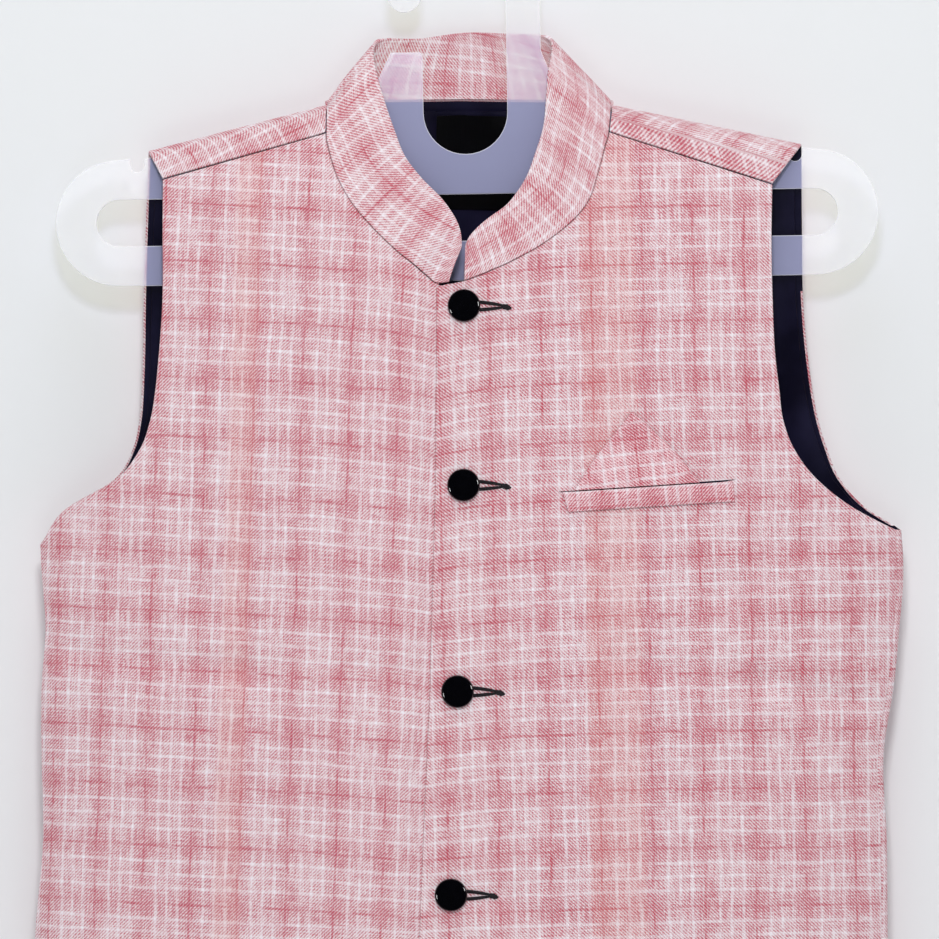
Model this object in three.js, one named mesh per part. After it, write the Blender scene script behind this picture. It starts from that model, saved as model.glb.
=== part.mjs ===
// A sleeveless stand-collar jacket (nehru jacket) hanging on a flat plastic hanger.
// Millimetres, +Z up. The origin is the seat of the hanger's hook, +X is the wearer's left,
// the front of the jacket faces -Y. The cloth hangs slightly askew, so left and right have
// their own sizes in the tables.

import * as THREE from 'three';

// ---------- driving sizes ----------

const CLOTH = 2.0; // interlined front, back and collar with their turned edges
const LINING = 0.8;
const SEAM_GAP = 0.5; // between pieces that are sewn edge to edge
const NECK_GAP = 1.3; // between the collar and the panels that it is set on
const LAY_GAP = 0.5; // between a piece and the panel that it lies on
const FOLD_LIFT = 6.5; // half width of the roll of cloth over the shoulder line
const OVERLAP = 20; // the under front passes the button line by this much
const TUCK = { from: 14, to: 3 }; // it drops behind the top front this far before its edge
const CORNER = 1.0; // the under front's neck corner passes the edge of the top front by this much
const HEM_Z = -796;
const NECK_RING = { middleX: 4.2, half: 87, back: 25 }; // its half width, and how far back it stands
const SEAM_INSET = 3.3; // the back rolls to the front by this much at the wearer's left

const PLATE = { thick: 2.4, endX: 209.8, centreZ: -167.2, endRadius: 38, slotEndX: 223, slotRadius: 14 };
const HOOK = { inner: 25.2, outer: 46, uBottomZ: -103.8, tipZ: -33, prongZ: -67.3 };
const HANGER_TILT = THREE.MathUtils.degToRad(0.96);

const BUTTON_SIDES = 20;

const COLOURS = { cloth: 0xd9687a, lining: 0x14131c, label: 0x08080a, button: 0x0b0b0e, hanger: 0xdfe3ee };

// ---------- tables ----------

// Body below the armholes: side folds and how far front and back stand off the hanger plane
const BODY = [
  { z: HEM_Z, left: -263, right: 257, front: 19, back: 15 },
  { z: -700, left: -260, right: 256.5, front: 20, back: 16 },
  { z: -595, left: -257, right: 256, front: 21, back: 17 },
  { z: -541, left: -252.5, right: 255.5, front: 21.5, back: 18 },
  { z: -487, left: -253.5, right: 254, front: 22, back: 18.5 },
  { z: -451, left: -253.5, right: 259.5, front: 22, back: 19 },
  { z: -415, left: -251, right: 263, front: 22, back: 19 },
  { z: -379, left: -253.5, right: 265.5, front: 22, back: 19 },
  { z: -361, left: -254.6, right: 264.8, front: 22, back: 19 },
];

// Edge of the top front, and the line of buttons, from neck to hem
const CLOSURE = [
  { z: HEM_Z, edge: -31, button: -16 },
  { z: -696, edge: -29, button: -11 },
  { z: -573.6, edge: -25, button: -6.9 },
  { z: -451.8, edge: -19.7, button: -3 },
  { z: -328.2, edge: -16.4, button: 0.6 },
  { z: -277, edge: -16.0, button: 0.8 },
  { z: -208.5, edge: -15.6, button: 0.9 },
];

const BUTTON_HEIGHTS = [-220.8, -328.2, -451.8, -573.6, -696];

// Armhole edges of the two fronts, from the side seam up to the forward shoulder seam
const ARMHOLE_FRONT_RIGHT = [
  { z: -364, x: -254.4 }, { z: -343, x: -239 }, { z: -325, x: -208.5 }, { z: -307, x: -194 },
  { z: -289, x: -187.5 }, { z: -271, x: -184.5 }, { z: -253, x: -182.7 }, { z: -217, x: -180.3 },
  { z: -176, x: -180.3 }, { z: -144.4, x: -180.3 },
];
const ARMHOLE_FRONT_LEFT = [
  { z: -355, x: 260.2 }, { z: -343, x: 237 }, { z: -325, x: 213.3 }, { z: -307, x: 199.5 },
  { z: -289, x: 192.6 }, { z: -271, x: 190.3 }, { z: -253, x: 188.1 }, { z: -217, x: 186.3 },
  { z: -176, x: 185.7 }, { z: -147.4, x: 186.3 },
];

// Armhole edges of the back, which stand outside those of the fronts, up to the shoulder line
const ARMHOLE_BACK_RIGHT = [
  { z: -364, x: -254.4 }, { z: -343, x: -240 }, { z: -325, x: -210.5 }, { z: -307, x: -199.5 },
  { z: -289, x: -195.3 }, { z: -271, x: -193.5 }, { z: -253, x: -191.7 }, { z: -217, x: -191 },
  { z: -176, x: -189.3 }, { z: -127.2, x: -189.3 },
];
const ARMHOLE_BACK_LEFT = [
  { z: -355, x: 264.3 }, { z: -343, x: 245 }, { z: -325, x: 228.3 }, { z: -307, x: 220.5 },
  { z: -289, x: 215 }, { z: -271, x: 211.5 }, { z: -253, x: 209 }, { z: -217, x: 205 },
  { z: -176, x: 203.8 }, { z: -123, x: 204.3 },
];

// Shoulders: ends of the fold line over the hanger, and of the forward seam below it
const SHOULDERS = {
  right: { neck: [-81.3, -99.2], arm: [-189.3, -127.2], neckSeam: [-81.9, -116.4], armSeam: [-180.3, -144] },
  left: { neck: [89.7, -99.2], arm: [204.3, -123], neckSeam: [87.9, -115.8], armSeam: [186.3, -147] },
};

// Collar from its right end at the centre front, round the back, to its left end.
// seam is the lower edge and top the upper one; topY is how far back the upper edge lies.
const COLLAR = [
  { seamX: -7.8, seamZ: -206.7, topX: 0.0, topZ: -185.0, topY: -22 },
  { seamX: -15.9, seamZ: -207.0, topX: -0.6, topZ: -177.0, topY: -22 },
  { seamX: -21.9, seamZ: -202.2, topX: -3.3, topZ: -169.2, topY: -22 },
  { seamX: -30.3, seamZ: -195.0, topX: -8.1, topZ: -161.4, topY: -21 },
  { seamX: -38.7, seamZ: -188.4, topX: -13.5, topZ: -154.6, topY: -20 },
  { seamX: -53.7, seamZ: -174.0, topX: -24.9, topZ: -143.0, topY: -18 },
  { seamX: -66.3, seamZ: -159.0, topX: -34.5, topZ: -130.0, topY: -15 },
  { seamX: -75.3, seamZ: -142.8, topX: -40.5, topZ: -115.0, topY: -12 },
  { seamX: -80.7, seamZ: -124.8, topX: -46.5, topZ: -97.5, topY: -8 },
  { seamX: -81.9, seamZ: -116.9, topX: -50.7, topZ: -83.0, topY: -4 },
  { seamX: -81.3, seamZ: -97.4, topX: -53.7, topZ: -68.0, topY: 2 },
  { seamX: -77.0, seamZ: -96.6, topX: -52.4, topZ: -60.0, topY: 9 },
  { seamX: -66.0, seamZ: -96.0, topX: -45.5, topZ: -58.2, topY: 16 },
  { seamX: -37.5, seamZ: -96.0, topX: -26.5, topZ: -58.2, topY: 22 },
  { seamX: 1.5, seamZ: -95.4, topX: 1.5, topZ: -54.5, topY: 24 },
  { seamX: 40.5, seamZ: -96.0, topX: 28.5, topZ: -55.2, topY: 22 },
  { seamX: 73.5, seamZ: -96.2, topX: 46.5, topZ: -56.0, topY: 16 },
  { seamX: 85.0, seamZ: -96.8, topX: 52.8, topZ: -57.5, topY: 9 },
  { seamX: 89.4, seamZ: -97.2, topX: 53.9, topZ: -65.0, topY: 2 },
  { seamX: 87.9, seamZ: -116.3, topX: 51.3, topZ: -79.0, topY: -4 },
  { seamX: 85.5, seamZ: -124.8, topX: 50.1, topZ: -94.0, topY: -8 },
  { seamX: 82.0, seamZ: -138.0, topX: 48.3, topZ: -112.2, topY: -12 },
  { seamX: 76.0, seamZ: -156.6, topX: 43.5, topZ: -128.4, topY: -15 },
  { seamX: 65.1, seamZ: -170.4, topX: 37.5, topZ: -144.0, topY: -18 },
  { seamX: 47.1, seamZ: -184.2, topX: 27.3, topZ: -158.6, topY: -20 },
  { seamX: 28.5, seamZ: -194.4, topX: 16.5, topZ: -166.8, topY: -21 },
  { seamX: 17.7, seamZ: -199.2, topX: 9.3, topZ: -172.8, topY: -22 },
  { seamX: 9.3, seamZ: -202.8, topX: 3.9, topZ: -178.8, topY: -22 },
  { seamX: 0.9, seamZ: -205.8, topX: 1.5, topZ: -184.0, topY: -22 },
];
const COLLAR_MARKS = { rightFold: 10, leftFold: 18, leftEnd: 28 };

// Chest pocket: welt corners, and the square of cloth that rises behind it
const WELT = { leftTop: [59.7, -332.4], leftBase: [63.3, -344.4], rightTop: [161.7, -325.8], rightBase: [163.5, -338.1] };
const SQUARE = [
  { up: 0, leftX: 66.9, leftZ: -331.3, rightX: 142.5, rightZ: -326.4 },
  { up: 0.42, leftX: 78.9, leftZ: -312.6, rightX: 127.5, rightZ: -308.4 },
  { up: 1, leftX: 101.0, leftZ: -284.6, rightX: 102.6, rightZ: -284.6 },
];
const SQUARE_THICK = 1.2;
const WELT_THICK = 1.6;
const LABEL = { left: -16, right: 30, top: -104, drop: 58, thick: 0.6 };

// Largest folds: a dent (negative) or ridge (positive) along a short line, with its width
const FOLDS = [
  { x1: -250, z1: -428, x2: -130, z2: -440, width: 9, height: -2.6 },
  { x1: -130, z1: -440, x2: -30, z2: -446, width: 12, height: -1.6 },
  { x1: 95, z1: -436, x2: 180, z2: -448, width: 11, height: -2.0 },
  { x1: 180, z1: -448, x2: 258, z2: -462, width: 9, height: -3.0 },
  { x1: 0, z1: -230, x2: 70, z2: -205, width: 12, height: 1.6 },
  { x1: 20, z1: -578, x2: 60, z2: -590, width: 9, height: -1.6 },
];

// ---------- numbers ----------

const point = (x, y, z) => new THREE.Vector3(x, y, z);

const mix = (a, b, t) => a + (b - a) * t;
const clamp01 = (t) => Math.min(1, Math.max(0, t));
const smooth = (t) => clamp01(t) ** 2 * (3 - 2 * clamp01(t));
const range = (count) => Array.from({ length: count + 1 }, (_, i) => i / count);

// The row at a fractional place in a table, on a smooth curve through its rows
function rowAt(table, place) {
  const i = Math.min(table.length - 2, Math.max(0, Math.floor(place)));
  const t = place - i;
  const pick = (k) => table[Math.min(table.length - 1, Math.max(0, k))];
  const [a, b, c, d] = [pick(i - 1), pick(i), pick(i + 1), pick(i + 2)];
  const row = {};
  for (const key of Object.keys(b)) {
    row[key] = b[key] + 0.5 * t * (c[key] - a[key]
      + t * (2 * a[key] - 5 * b[key] + 4 * c[key] - d[key] + t * (3 * (b[key] - c[key]) + d[key] - a[key])));
  }
  return row;
}

// The row at height z in a table whose z rises from row to row, joined by straight lines
function rowAtHeight(table, z) {
  let i = 0;
  while (i < table.length - 2 && z > table[i + 1].z) i += 1;
  const t = clamp01((z - table[i].z) / (table[i + 1].z - table[i].z));
  const row = {};
  for (const key of Object.keys(table[i])) row[key] = mix(table[i][key], table[i + 1][key], t);
  return row;
}

// ---------- the form of the hanging cloth ----------

function shoulderLineZ(x) {
  const side = x < 0 ? SHOULDERS.right : SHOULDERS.left;
  const t = (x - side.neck[0]) / (side.arm[0] - side.neck[0]);
  return mix(side.neck[1], side.arm[1], t);
}

// 0 on the middle line of the body, 1 at its side folds
function acrossBody(x, z) {
  const body = rowAtHeight(BODY, z);
  const middle = (body.left + body.right) / 2;
  return clamp01(Math.abs(x - middle) / ((body.right - body.left) / 2));
}

// How far the cloth stands off the hanger plane, before folds; depth is named "front" or "back"
function standOff(x, z, depth) {
  const body = rowAtHeight(BODY, z);
  const roll = (1 - acrossBody(x, z) ** 2.6) ** 0.65;
  const below = Math.max(0, shoulderLineZ(x) - z);
  const reach = mix(10, 46, clamp01(Math.abs(x) / 190));
  return roll * (body[depth] * (1 - Math.exp(-below / reach)) + FOLD_LIFT * (1 - Math.exp(-below / 2)));
}

function foldHeight(x, z) {
  const fade = clamp01((1 - acrossBody(x, z)) / 0.08);
  let sum = 0;
  for (const fold of FOLDS) {
    const [dx, dz] = [fold.x2 - fold.x1, fold.z2 - fold.z1];
    const t = clamp01(((x - fold.x1) * dx + (z - fold.z1) * dz) / (dx * dx + dz * dz));
    const off = Math.hypot(x - fold.x1 - t * dx, z - fold.z1 - t * dz);
    sum += fade * fold.height * Math.exp(-((off / fold.width) ** 2));
  }
  return sum;
}

const frontY = (x, z) => -standOff(x, z, 'front') - foldHeight(x, z);

// The under front drops behind the top front before the edge of the overlap
function underFrontY(x, z) {
  const edge = rowAtHeight(CLOSURE, z).edge;
  return frontY(x, z) + (CLOTH + 0.9) * smooth((x - edge + TUCK.from) / (TUCK.from - TUCK.to));
}

// The back is drawn out to the round neck ring near its top edge
function backY(x, z) {
  const ring = NECK_RING.back * Math.max(0, 1 - ((x - NECK_RING.middleX) / NECK_RING.half) ** 2) ** 0.8;
  const plain = standOff(x, z, 'back');
  return plain + Math.max(0, ring - standOff(x, -96, 'back')) * Math.exp(-Math.max(0, -96 - z) / 35);
}

// Direction into the hollow, square to a surface y(x, z)
function inwardAt(surface, x, z) {
  const step = 0.5;
  const slopeX = (surface(x + step, z) - surface(x - step, z)) / (2 * step);
  const slopeZ = (surface(x, z + step) - surface(x, z - step)) / (2 * step);
  const sense = -Math.sign(surface(x, z)) || 1;
  return point(-slopeX, 1, -slopeZ).multiplyScalar(sense).normalize();
}

// ---------- meshes ----------

// Directions into the hollow at every point of a grid, found from its neighbours
function inwardDirections(grid, hollow) {
  const rows = grid.length;
  const along = (list, i) => list[Math.min(list.length - 1, i + 1)].clone().sub(list[Math.max(0, i - 1)]);
  const directions = grid.map((row, r) => row.map((_, c) => {
    const column = grid.map((other) => other[Math.min(c, other.length - 1)]);
    return along(row, c).cross(along(column, Math.min(rows - 1, r))).normalize();
  }));
  let facing = 0;
  grid.forEach((row, r) => row.forEach((p, c) => { facing += directions[r][c].dot(hollow.clone().sub(p).normalize()); }));
  if (facing < 0) directions.flat().forEach((d) => d.negate());
  return directions;
}

// A closed wall: the grid is its outer face, thickened inwards; keep says which cells exist
function wall(grid, inward, thick, keep = () => true) {
  const [rows, columns] = [grid.length, grid[0].length];
  const positions = [];
  grid.forEach((row) => row.forEach((p) => positions.push(p.x, p.y, p.z)));
  grid.forEach((row, r) => row.forEach((p, c) => {
    const q = p.clone().addScaledVector(inward[r][c], thick);
    positions.push(q.x, q.y, q.z);
  }));
  const outer = (r, c) => r * columns + c;
  const inner = (r, c) => rows * columns + outer(r, c);
  const kept = (r, c) => r >= 0 && c >= 0 && r < rows - 1 && c < columns - 1 && keep(r, c);
  const index = [];
  const quad = (a, b, c, d) => index.push(a, b, c, a, c, d);
  for (let r = 0; r < rows - 1; r += 1) {
    for (let c = 0; c < columns - 1; c += 1) {
      if (!kept(r, c)) continue;
      quad(outer(r, c), outer(r, c + 1), outer(r + 1, c + 1), outer(r + 1, c));
      quad(inner(r + 1, c), inner(r + 1, c + 1), inner(r, c + 1), inner(r, c));
      if (!kept(r - 1, c)) quad(inner(r, c), inner(r, c + 1), outer(r, c + 1), outer(r, c));
      if (!kept(r + 1, c)) quad(outer(r + 1, c), outer(r + 1, c + 1), inner(r + 1, c + 1), inner(r + 1, c));
      if (!kept(r, c - 1)) quad(inner(r + 1, c), inner(r, c), outer(r, c), outer(r + 1, c));
      if (!kept(r, c + 1)) quad(outer(r + 1, c + 1), outer(r, c + 1), inner(r, c + 1), inner(r + 1, c + 1));
    }
  }
  return closed(positions, index);
}

// A geometry without unused points, turned so that its faces point out
function closed(positions, index) {
  const used = [...new Set(index)].sort((a, b) => a - b);
  const place = new Map(used.map((old, i) => [old, i]));
  const corners = used.map((i) => point(positions[3 * i], positions[3 * i + 1], positions[3 * i + 2]));
  let volume = 0;
  for (let i = 0; i < index.length; i += 3) {
    const [a, b, c] = [0, 1, 2].map((k) => corners[place.get(index[i + k])]);
    volume += a.dot(b.clone().cross(c));
  }
  const order = volume < 0 ? [0, 2, 1] : [0, 1, 2];
  const turned = [];
  for (let i = 0; i < index.length; i += 3) order.forEach((k) => turned.push(place.get(index[i + k])));
  const geometry = new THREE.BufferGeometry();
  geometry.setAttribute('position', new THREE.Float32BufferAttribute(corners.flatMap((p) => [p.x, p.y, p.z]), 3));
  geometry.setIndex(turned);
  geometry.computeVertexNormals();
  return geometry;
}

const cloth = new THREE.MeshStandardMaterial({ color: COLOURS.cloth, roughness: 0.85, metalness: 0 });
const black = new THREE.MeshStandardMaterial({ color: COLOURS.lining, roughness: 0.6, metalness: 0 });
const labelBlack = new THREE.MeshStandardMaterial({ color: COLOURS.label, roughness: 0.5, metalness: 0 });
const glossBlack = new THREE.MeshStandardMaterial({ color: COLOURS.button, roughness: 0.12, metalness: 0 });
const frosted = new THREE.MeshStandardMaterial({ color: COLOURS.hanger, roughness: 0.45, metalness: 0 });

const jacket = new THREE.Group();

function add(name, geometry, material) {
  const mesh = new THREE.Mesh(geometry, material);
  mesh.name = name;
  jacket.add(mesh);
  return mesh;
}

const HOLLOW = point(0, 0, -420); // inside the body
const NECK_MIDDLE = point(2, 0, -150);

// ---------- collar ----------

// Places along the collar at which all neck edges have their points
const frontPlaces = [0, 1, 2, 3, 4, 4.5, 5, 5.5, 6, 6.5, 7, 8, 9];
const stripPlaces = [9.3, 9.6, 9.8, 10];
const backPlaces = [10, 10.5, 11, 12, 13, 14, 15, 16, 17, 17.5, 18];
const mirrored = (places) => places.map((t) => COLLAR_MARKS.leftEnd - t).reverse();
const collarPlaces = [...new Set([
  ...frontPlaces, ...stripPlaces, ...backPlaces, ...mirrored(stripPlaces), ...mirrored(frontPlaces),
])];

function collarSeam(place) {
  const { seamX: x, seamZ: z } = rowAt(COLLAR, place);
  const marks = COLLAR_MARKS;
  if (place > marks.rightFold && place < marks.leftFold) return point(x, backY(x, z), z);
  if (place === marks.rightFold || place === marks.leftFold) return point(x, 0, z);
  return point(x, place < marks.rightFold ? underFrontY(x, z) : frontY(x, z), z);
}

function buildCollar() {
  const grid = collarPlaces.map((place) => {
    const seam = collarSeam(place);
    const row = rowAt(COLLAR, place);
    const top = point(row.topX, row.topY, row.topZ);
    return [0, 0.33, 0.67, 1].map((t) => {
      const p = seam.clone().lerp(top, t);
      const bow = 1.6 * Math.sin(Math.PI * t); // the band bulges a little between its edges
      return p.addScaledVector(p.clone().sub(point(2, 0, p.z)).normalize(), bow);
    });
  });
  add('collar', wall(grid, inwardDirections(grid, NECK_MIDDLE), CLOTH), cloth);
}

// Neck edge of a panel: the collar seam, moved away from the collar
function neckEdge(place) {
  const seam = collarSeam(place);
  const onBack = place > COLLAR_MARKS.rightFold && place < COLLAR_MARKS.leftFold;
  const away = onBack ? point(0, 0, -1) : point(seam.x - NECK_MIDDLE.x, 0, seam.z - NECK_MIDDLE.z).normalize();
  return seam.addScaledVector(away, NECK_GAP);
}

// ---------- fronts ----------

const BODY_HEIGHTS = [HEM_Z, -730, -660, -590, -525, -475, -456, -442, -424, -395];
const SIDE_CROWDING = 1.5; // columns crowd towards the side fold

// Rows of a front from hem to shoulder: the ends of each row, as [x, z]
function frontRows(side) {
  const right = side === 'right';
  const armhole = right ? ARMHOLE_FRONT_RIGHT : ARMHOLE_FRONT_LEFT;
  // the tuck of the under front narrows to its corner below the collar's end
  const innerX = (z) => rowAtHeight(CLOSURE, z).edge - (right ? mix(TUCK.from, -CORNER, smooth((z + 250) / 42)) : 0);
  const sideX = (z) => (right ? rowAtHeight(BODY, z).left : rowAtHeight(BODY, z).right - SEAM_INSET - SEAM_GAP);
  const rows = BODY_HEIGHTS.map((z) => ({ inner: [innerX(z), z], outer: [sideX(z), z], below: true }));
  const neckBase = right ? -209 : -209.4;
  const armRows = armhole.slice(0, 7);
  armRows.forEach((row, i) => {
    const z = mix(armhole[0].z, neckBase, (i / armRows.length) ** 0.85);
    rows.push({ inner: [innerX(z), z], outer: [row.x, row.z], below: true });
  });
  rows.push({ inner: [innerX(neckBase), neckBase], outer: [rowAtHeight(armhole, -236).x, -236], below: true });
  const top = armhole[armhole.length - 1];
  const places = right ? frontPlaces.slice(1) : frontPlaces;
  places.forEach((place, i) => {
    const edge = neckEdge(right ? place : COLLAR_MARKS.leftEnd - place);
    const z = mix(-228, top.z - SEAM_GAP, i / (places.length - 1));
    rows.push({ inner: [edge.x, edge.z], outer: [rowAtHeight(armhole, z).x, z], below: false });
  });
  return rows;
}

// The under front's columns behind the top front: its free edge, and both ends of the tuck
function underColumns({ inner: [, z], below }) {
  const { edge, button } = rowAtHeight(CLOSURE, z);
  const droop = below && z > -209 ? 2.5 : 0; // its top edge stays below that of the top front
  return [[button + OVERLAP, z - droop], [edge - TUCK.to, z], [edge - mix(TUCK.from, TUCK.to, 0.5), z]];
}

function buildFront(name, side) {
  const surface = side === 'right' ? underFrontY : frontY;
  const columns = range(12).map((t) => 1 - (1 - t) ** SIDE_CROWDING);
  const rows = frontRows(side);
  const grid = rows.map((row) => {
    const places = columns.map((t) => [mix(row.inner[0], row.outer[0], t), mix(row.inner[1], row.outer[1], t)]);
    if (side === 'right') places.unshift(...underColumns(row));
    return places.map(([x, z]) => point(x, surface(x, z), z));
  });
  const inward = inwardDirections(grid, HOLLOW);
  const first = side === 'right' ? 3 : 0;
  const lastRow = rows.length - 1;
  grid.forEach((row, r) => row.forEach((p, c) => {
    const onNeck = !rows[r].below && c === first;
    if (onNeck || (r === lastRow && c >= first && c < row.length - 1)) inward[r][c] = inwardAt(surface, p.x, p.z);
  }));
  if (side === 'right') squareOffSide(grid, inward, grid[0].length - 1, -1);
  else slantSide(inward, grid[0].length - 1);
  const keep = (r, c) => c >= first || (rows[r].below && rows[r + 1].below);
  add(name, wall(grid, inward, CLOTH, keep), cloth);
}

// At the wearer's left the seam lies on the front, so both walls end in slanting faces
function slantSide(inward, column) {
  inward.slice(0, BODY_HEIGHTS.length + 1).forEach((row) => row[column].set(-1, 1, 0).normalize());
}

// At the wearer's right front and back meet at the side fold, in faces square to the seam
function squareOffSide(grid, inward, column, sense) {
  grid.slice(0, BODY_HEIGHTS.length + 1).forEach((row, r) => {
    row[column].y += sense * SEAM_GAP / 2;
    inward[r][column].set(-Math.sign(row[column].x), 0, 0);
  });
}

// ---------- back ----------

const SHOULDER_COLUMNS = 7; // on each side of the neck

function buildBack() {
  const grid = [];
  const halfShoulder = range(SHOULDER_COLUMNS);
  const heights = [...BODY_HEIGHTS.map((z) => ({ right: z, left: z }))];
  ARMHOLE_BACK_RIGHT.slice(0, 9).forEach((row, i) => heights.push({ right: row.z, left: ARMHOLE_BACK_LEFT[i].z }));
  [-158, -145, -136, -131.5, -129, -127.8].forEach((z) => heights.push({ right: z, left: z + 4.2 }));
  heights.push({ right: -127.2, left: -123 });
  const lastHeight = heights.length - 1;

  heights.forEach(({ right, left }, r) => {
    const isBody = r < BODY_HEIGHTS.length;
    const ends = [
      { x: isBody ? rowAtHeight(BODY, right).left : rowAtHeight(ARMHOLE_BACK_RIGHT, right).x, z: right },
      { x: isBody ? rowAtHeight(BODY, left).right : rowAtHeight(ARMHOLE_BACK_LEFT, left).x, z: left },
    ];
    const fold = [SHOULDERS.right, SHOULDERS.left];
    // inner ends of the shoulder columns rise to the neck points
    const risen = ends.map((end, k) => {
      const span = fold[k].neck[1] - fold[k].arm[1];
      return end.z + span * smooth((end.z + 365) / 235);
    });
    const row = [];
    halfShoulder.forEach((t) => {
      const u = t ** SIDE_CROWDING;
      row.push([mix(ends[0].x, fold[0].neck[0], u), mix(ends[0].z, risen[0], u)]);
    });
    backPlaces.slice(1, -1).forEach((place, k) => {
      const edge = neckEdge(place);
      const level = mix(risen[0], risen[1], (k + 1) / (backPlaces.length - 1));
      const rise = smooth((level + 365) / 266);
      const flat = mix(fold[0].neck[0], fold[1].neck[0], (k + 1) / (backPlaces.length - 1));
      row.push([mix(flat, edge.x, rise), level + (edge.z + 99.2) * rise]);
    });
    [...halfShoulder].reverse().forEach((t) => {
      const u = t ** SIDE_CROWDING;
      row.push([mix(ends[1].x, fold[1].neck[0], u), mix(ends[1].z, risen[1], u)]);
    });
    const points = row.map(([x, z], c) => {
      const onFold = r === lastHeight && (c <= SHOULDER_COLUMNS || c >= row.length - 1 - SHOULDER_COLUMNS);
      return point(x, onFold ? 0 : backY(x, z), z);
    });
    // a last column rolls round the side fold to the seam on the front
    const seamX = ends[1].x - (r <= BODY_HEIGHTS.length ? SEAM_INSET : 0);
    grid.push([...points, point(seamX, frontY(seamX, left), left)]);
  });

  // strips over the shoulders, down to the forward seam
  const stripSteps = [0.07, 0.2, 0.4, 0.7, 1];
  const columns = grid[0].length - 1;
  stripSteps.forEach((t) => {
    const row = [];
    for (let c = 0; c < columns; c += 1) {
      const onRight = c <= SHOULDER_COLUMNS;
      const onLeft = c >= columns - 1 - SHOULDER_COLUMNS;
      const side = onRight ? SHOULDERS.right : SHOULDERS.left;
      const u = clamp01((onRight ? c : columns - 1 - c) / SHOULDER_COLUMNS) ** SIDE_CROWDING;
      const outer = [mix(side.arm[0], side.armSeam[0], t), mix(side.arm[1], side.armSeam[1], t)];
      const inner = [mix(side.neck[0], side.neckSeam[0], t), mix(side.neck[1], side.neckSeam[1], t)];
      inner[0] += Math.sign(inner[0]) * NECK_GAP;
      const [x, z] = [mix(outer[0], inner[0], u), mix(outer[1], inner[1], u)];
      row.push(onRight || onLeft ? point(x, frontY(x, z), z) : grid[lastHeight][c].clone());
    }
    grid.push([...row, row[columns - 1].clone()]);
  });

  const inward = inwardDirections(grid, HOLLOW);
  squareOffSide(grid, inward, 0, 1);
  inward.slice(0, BODY_HEIGHTS.length + 1).forEach((row) => row[columns - 1].set(-1, 0, 0));
  slantSide(inward, columns);
  grid[grid.length - 1].forEach((p, c) => { inward[grid.length - 1][c] = inwardAt(frontY, p.x, p.z); });
  const keep = (r, c) => (c === columns - 1 ? r < BODY_HEIGHTS.length
    : r < lastHeight || c < SHOULDER_COLUMNS || c >= columns - 1 - SHOULDER_COLUMNS);
  add('back', wall(grid, inward, CLOTH, keep), cloth);
}

// ---------- lining and label ----------

// A point of the back's form, moved into the hollow
function insideBack(x, z, depth) {
  return point(x, backY(x, z), z).addScaledVector(inwardAt(backY, x, z), depth);
}

function buildLining() {
  const grid = [-790, -700, -600, -500, -420, -365, -335, -300, -250, -200, -165, -140].map((z) => {
    const low = z < -360;
    const left = low ? rowAtHeight(BODY, z).left + 14 : rowAtHeight(ARMHOLE_BACK_RIGHT, z).x + 5;
    const right = low ? rowAtHeight(BODY, z).right - 14 : rowAtHeight(ARMHOLE_BACK_LEFT, z).x - 5;
    return range(16).map((t) => {
      const x = mix(left, right, t);
      const rise = smooth((z + 250) / 110) * (shoulderLineZ(x) - 14 + 140);
      const level = Math.min(z + rise, -101);
      return insideBack(x, level, CLOTH + 4 * LAY_GAP);
    });
  });
  add('lining_back', wall(grid, inwardDirections(grid, HOLLOW), LINING), black);
}

function buildLabel() {
  const grid = range(5).map((down) => range(4).map((t) => insideBack(
    mix(LABEL.left, LABEL.right, t), LABEL.top - LABEL.drop * down, CLOTH + LINING + 6 * LAY_GAP,
  )));
  add('neck_label', wall(grid, inwardDirections(grid, point(0, -200, -115)), LABEL.thick), labelBlack);
}

// ---------- chest pocket ----------

// A flat piece that lies on the wearer's left front: its face is the panel's form, moved out
function layOnFront(name, outline, thick) {
  const grid = outline.map((row) => row.map(([x, z]) => point(x, frontY(x, z) - LAY_GAP - thick, z)));
  add(name, wall(grid, inwardDirections(grid, HOLLOW), thick), cloth);
}

function buildPocket() {
  const { leftTop, leftBase, rightTop, rightBase } = WELT;
  layOnFront('welt', range(2).map((up) => range(8).map((t) => [
    mix(mix(leftBase[0], rightBase[0], t), mix(leftTop[0], rightTop[0], t), up),
    mix(mix(leftBase[1], rightBase[1], t), mix(leftTop[1], rightTop[1], t), up),
  ])), WELT_THICK);
  layOnFront('pocket_square', range(6).map((t) => {
    const row = rowAt(SQUARE, t * 2);
    return range(6).map((u) => [mix(row.leftX, row.rightX, u), mix(row.leftZ, row.rightZ, u)]);
  }), SQUARE_THICK);
}

// ---------- buttons ----------

// Radius and height of the button's profile: flat back, raised rim and a low dome inside it
const BUTTON_PROFILE = [
  [0, 0], [8.2, 0], [9.6, 0.7], [9.9, 1.8], [9.7, 3.0], [9.0, 3.8], [8.2, 3.9], [7.4, 3.5], [4.5, 4.3], [0, 4.6],
];

function buildButtons() {
  const profile = BUTTON_PROFILE.map(([r, h]) => new THREE.Vector2(r, h));
  BUTTON_HEIGHTS.forEach((z, i) => {
    const geometry = new THREE.LatheGeometry(profile, BUTTON_SIDES);
    const mesh = add(`button_${i + 1}`, geometry, glossBlack);
    const x = rowAtHeight(CLOSURE, z).button;
    mesh.position.set(x, frontY(x, z) - LAY_GAP, z);
    mesh.rotation.x = Math.PI; // the lathe's axis points to the front
  });
}

// ---------- hanger ----------

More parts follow.
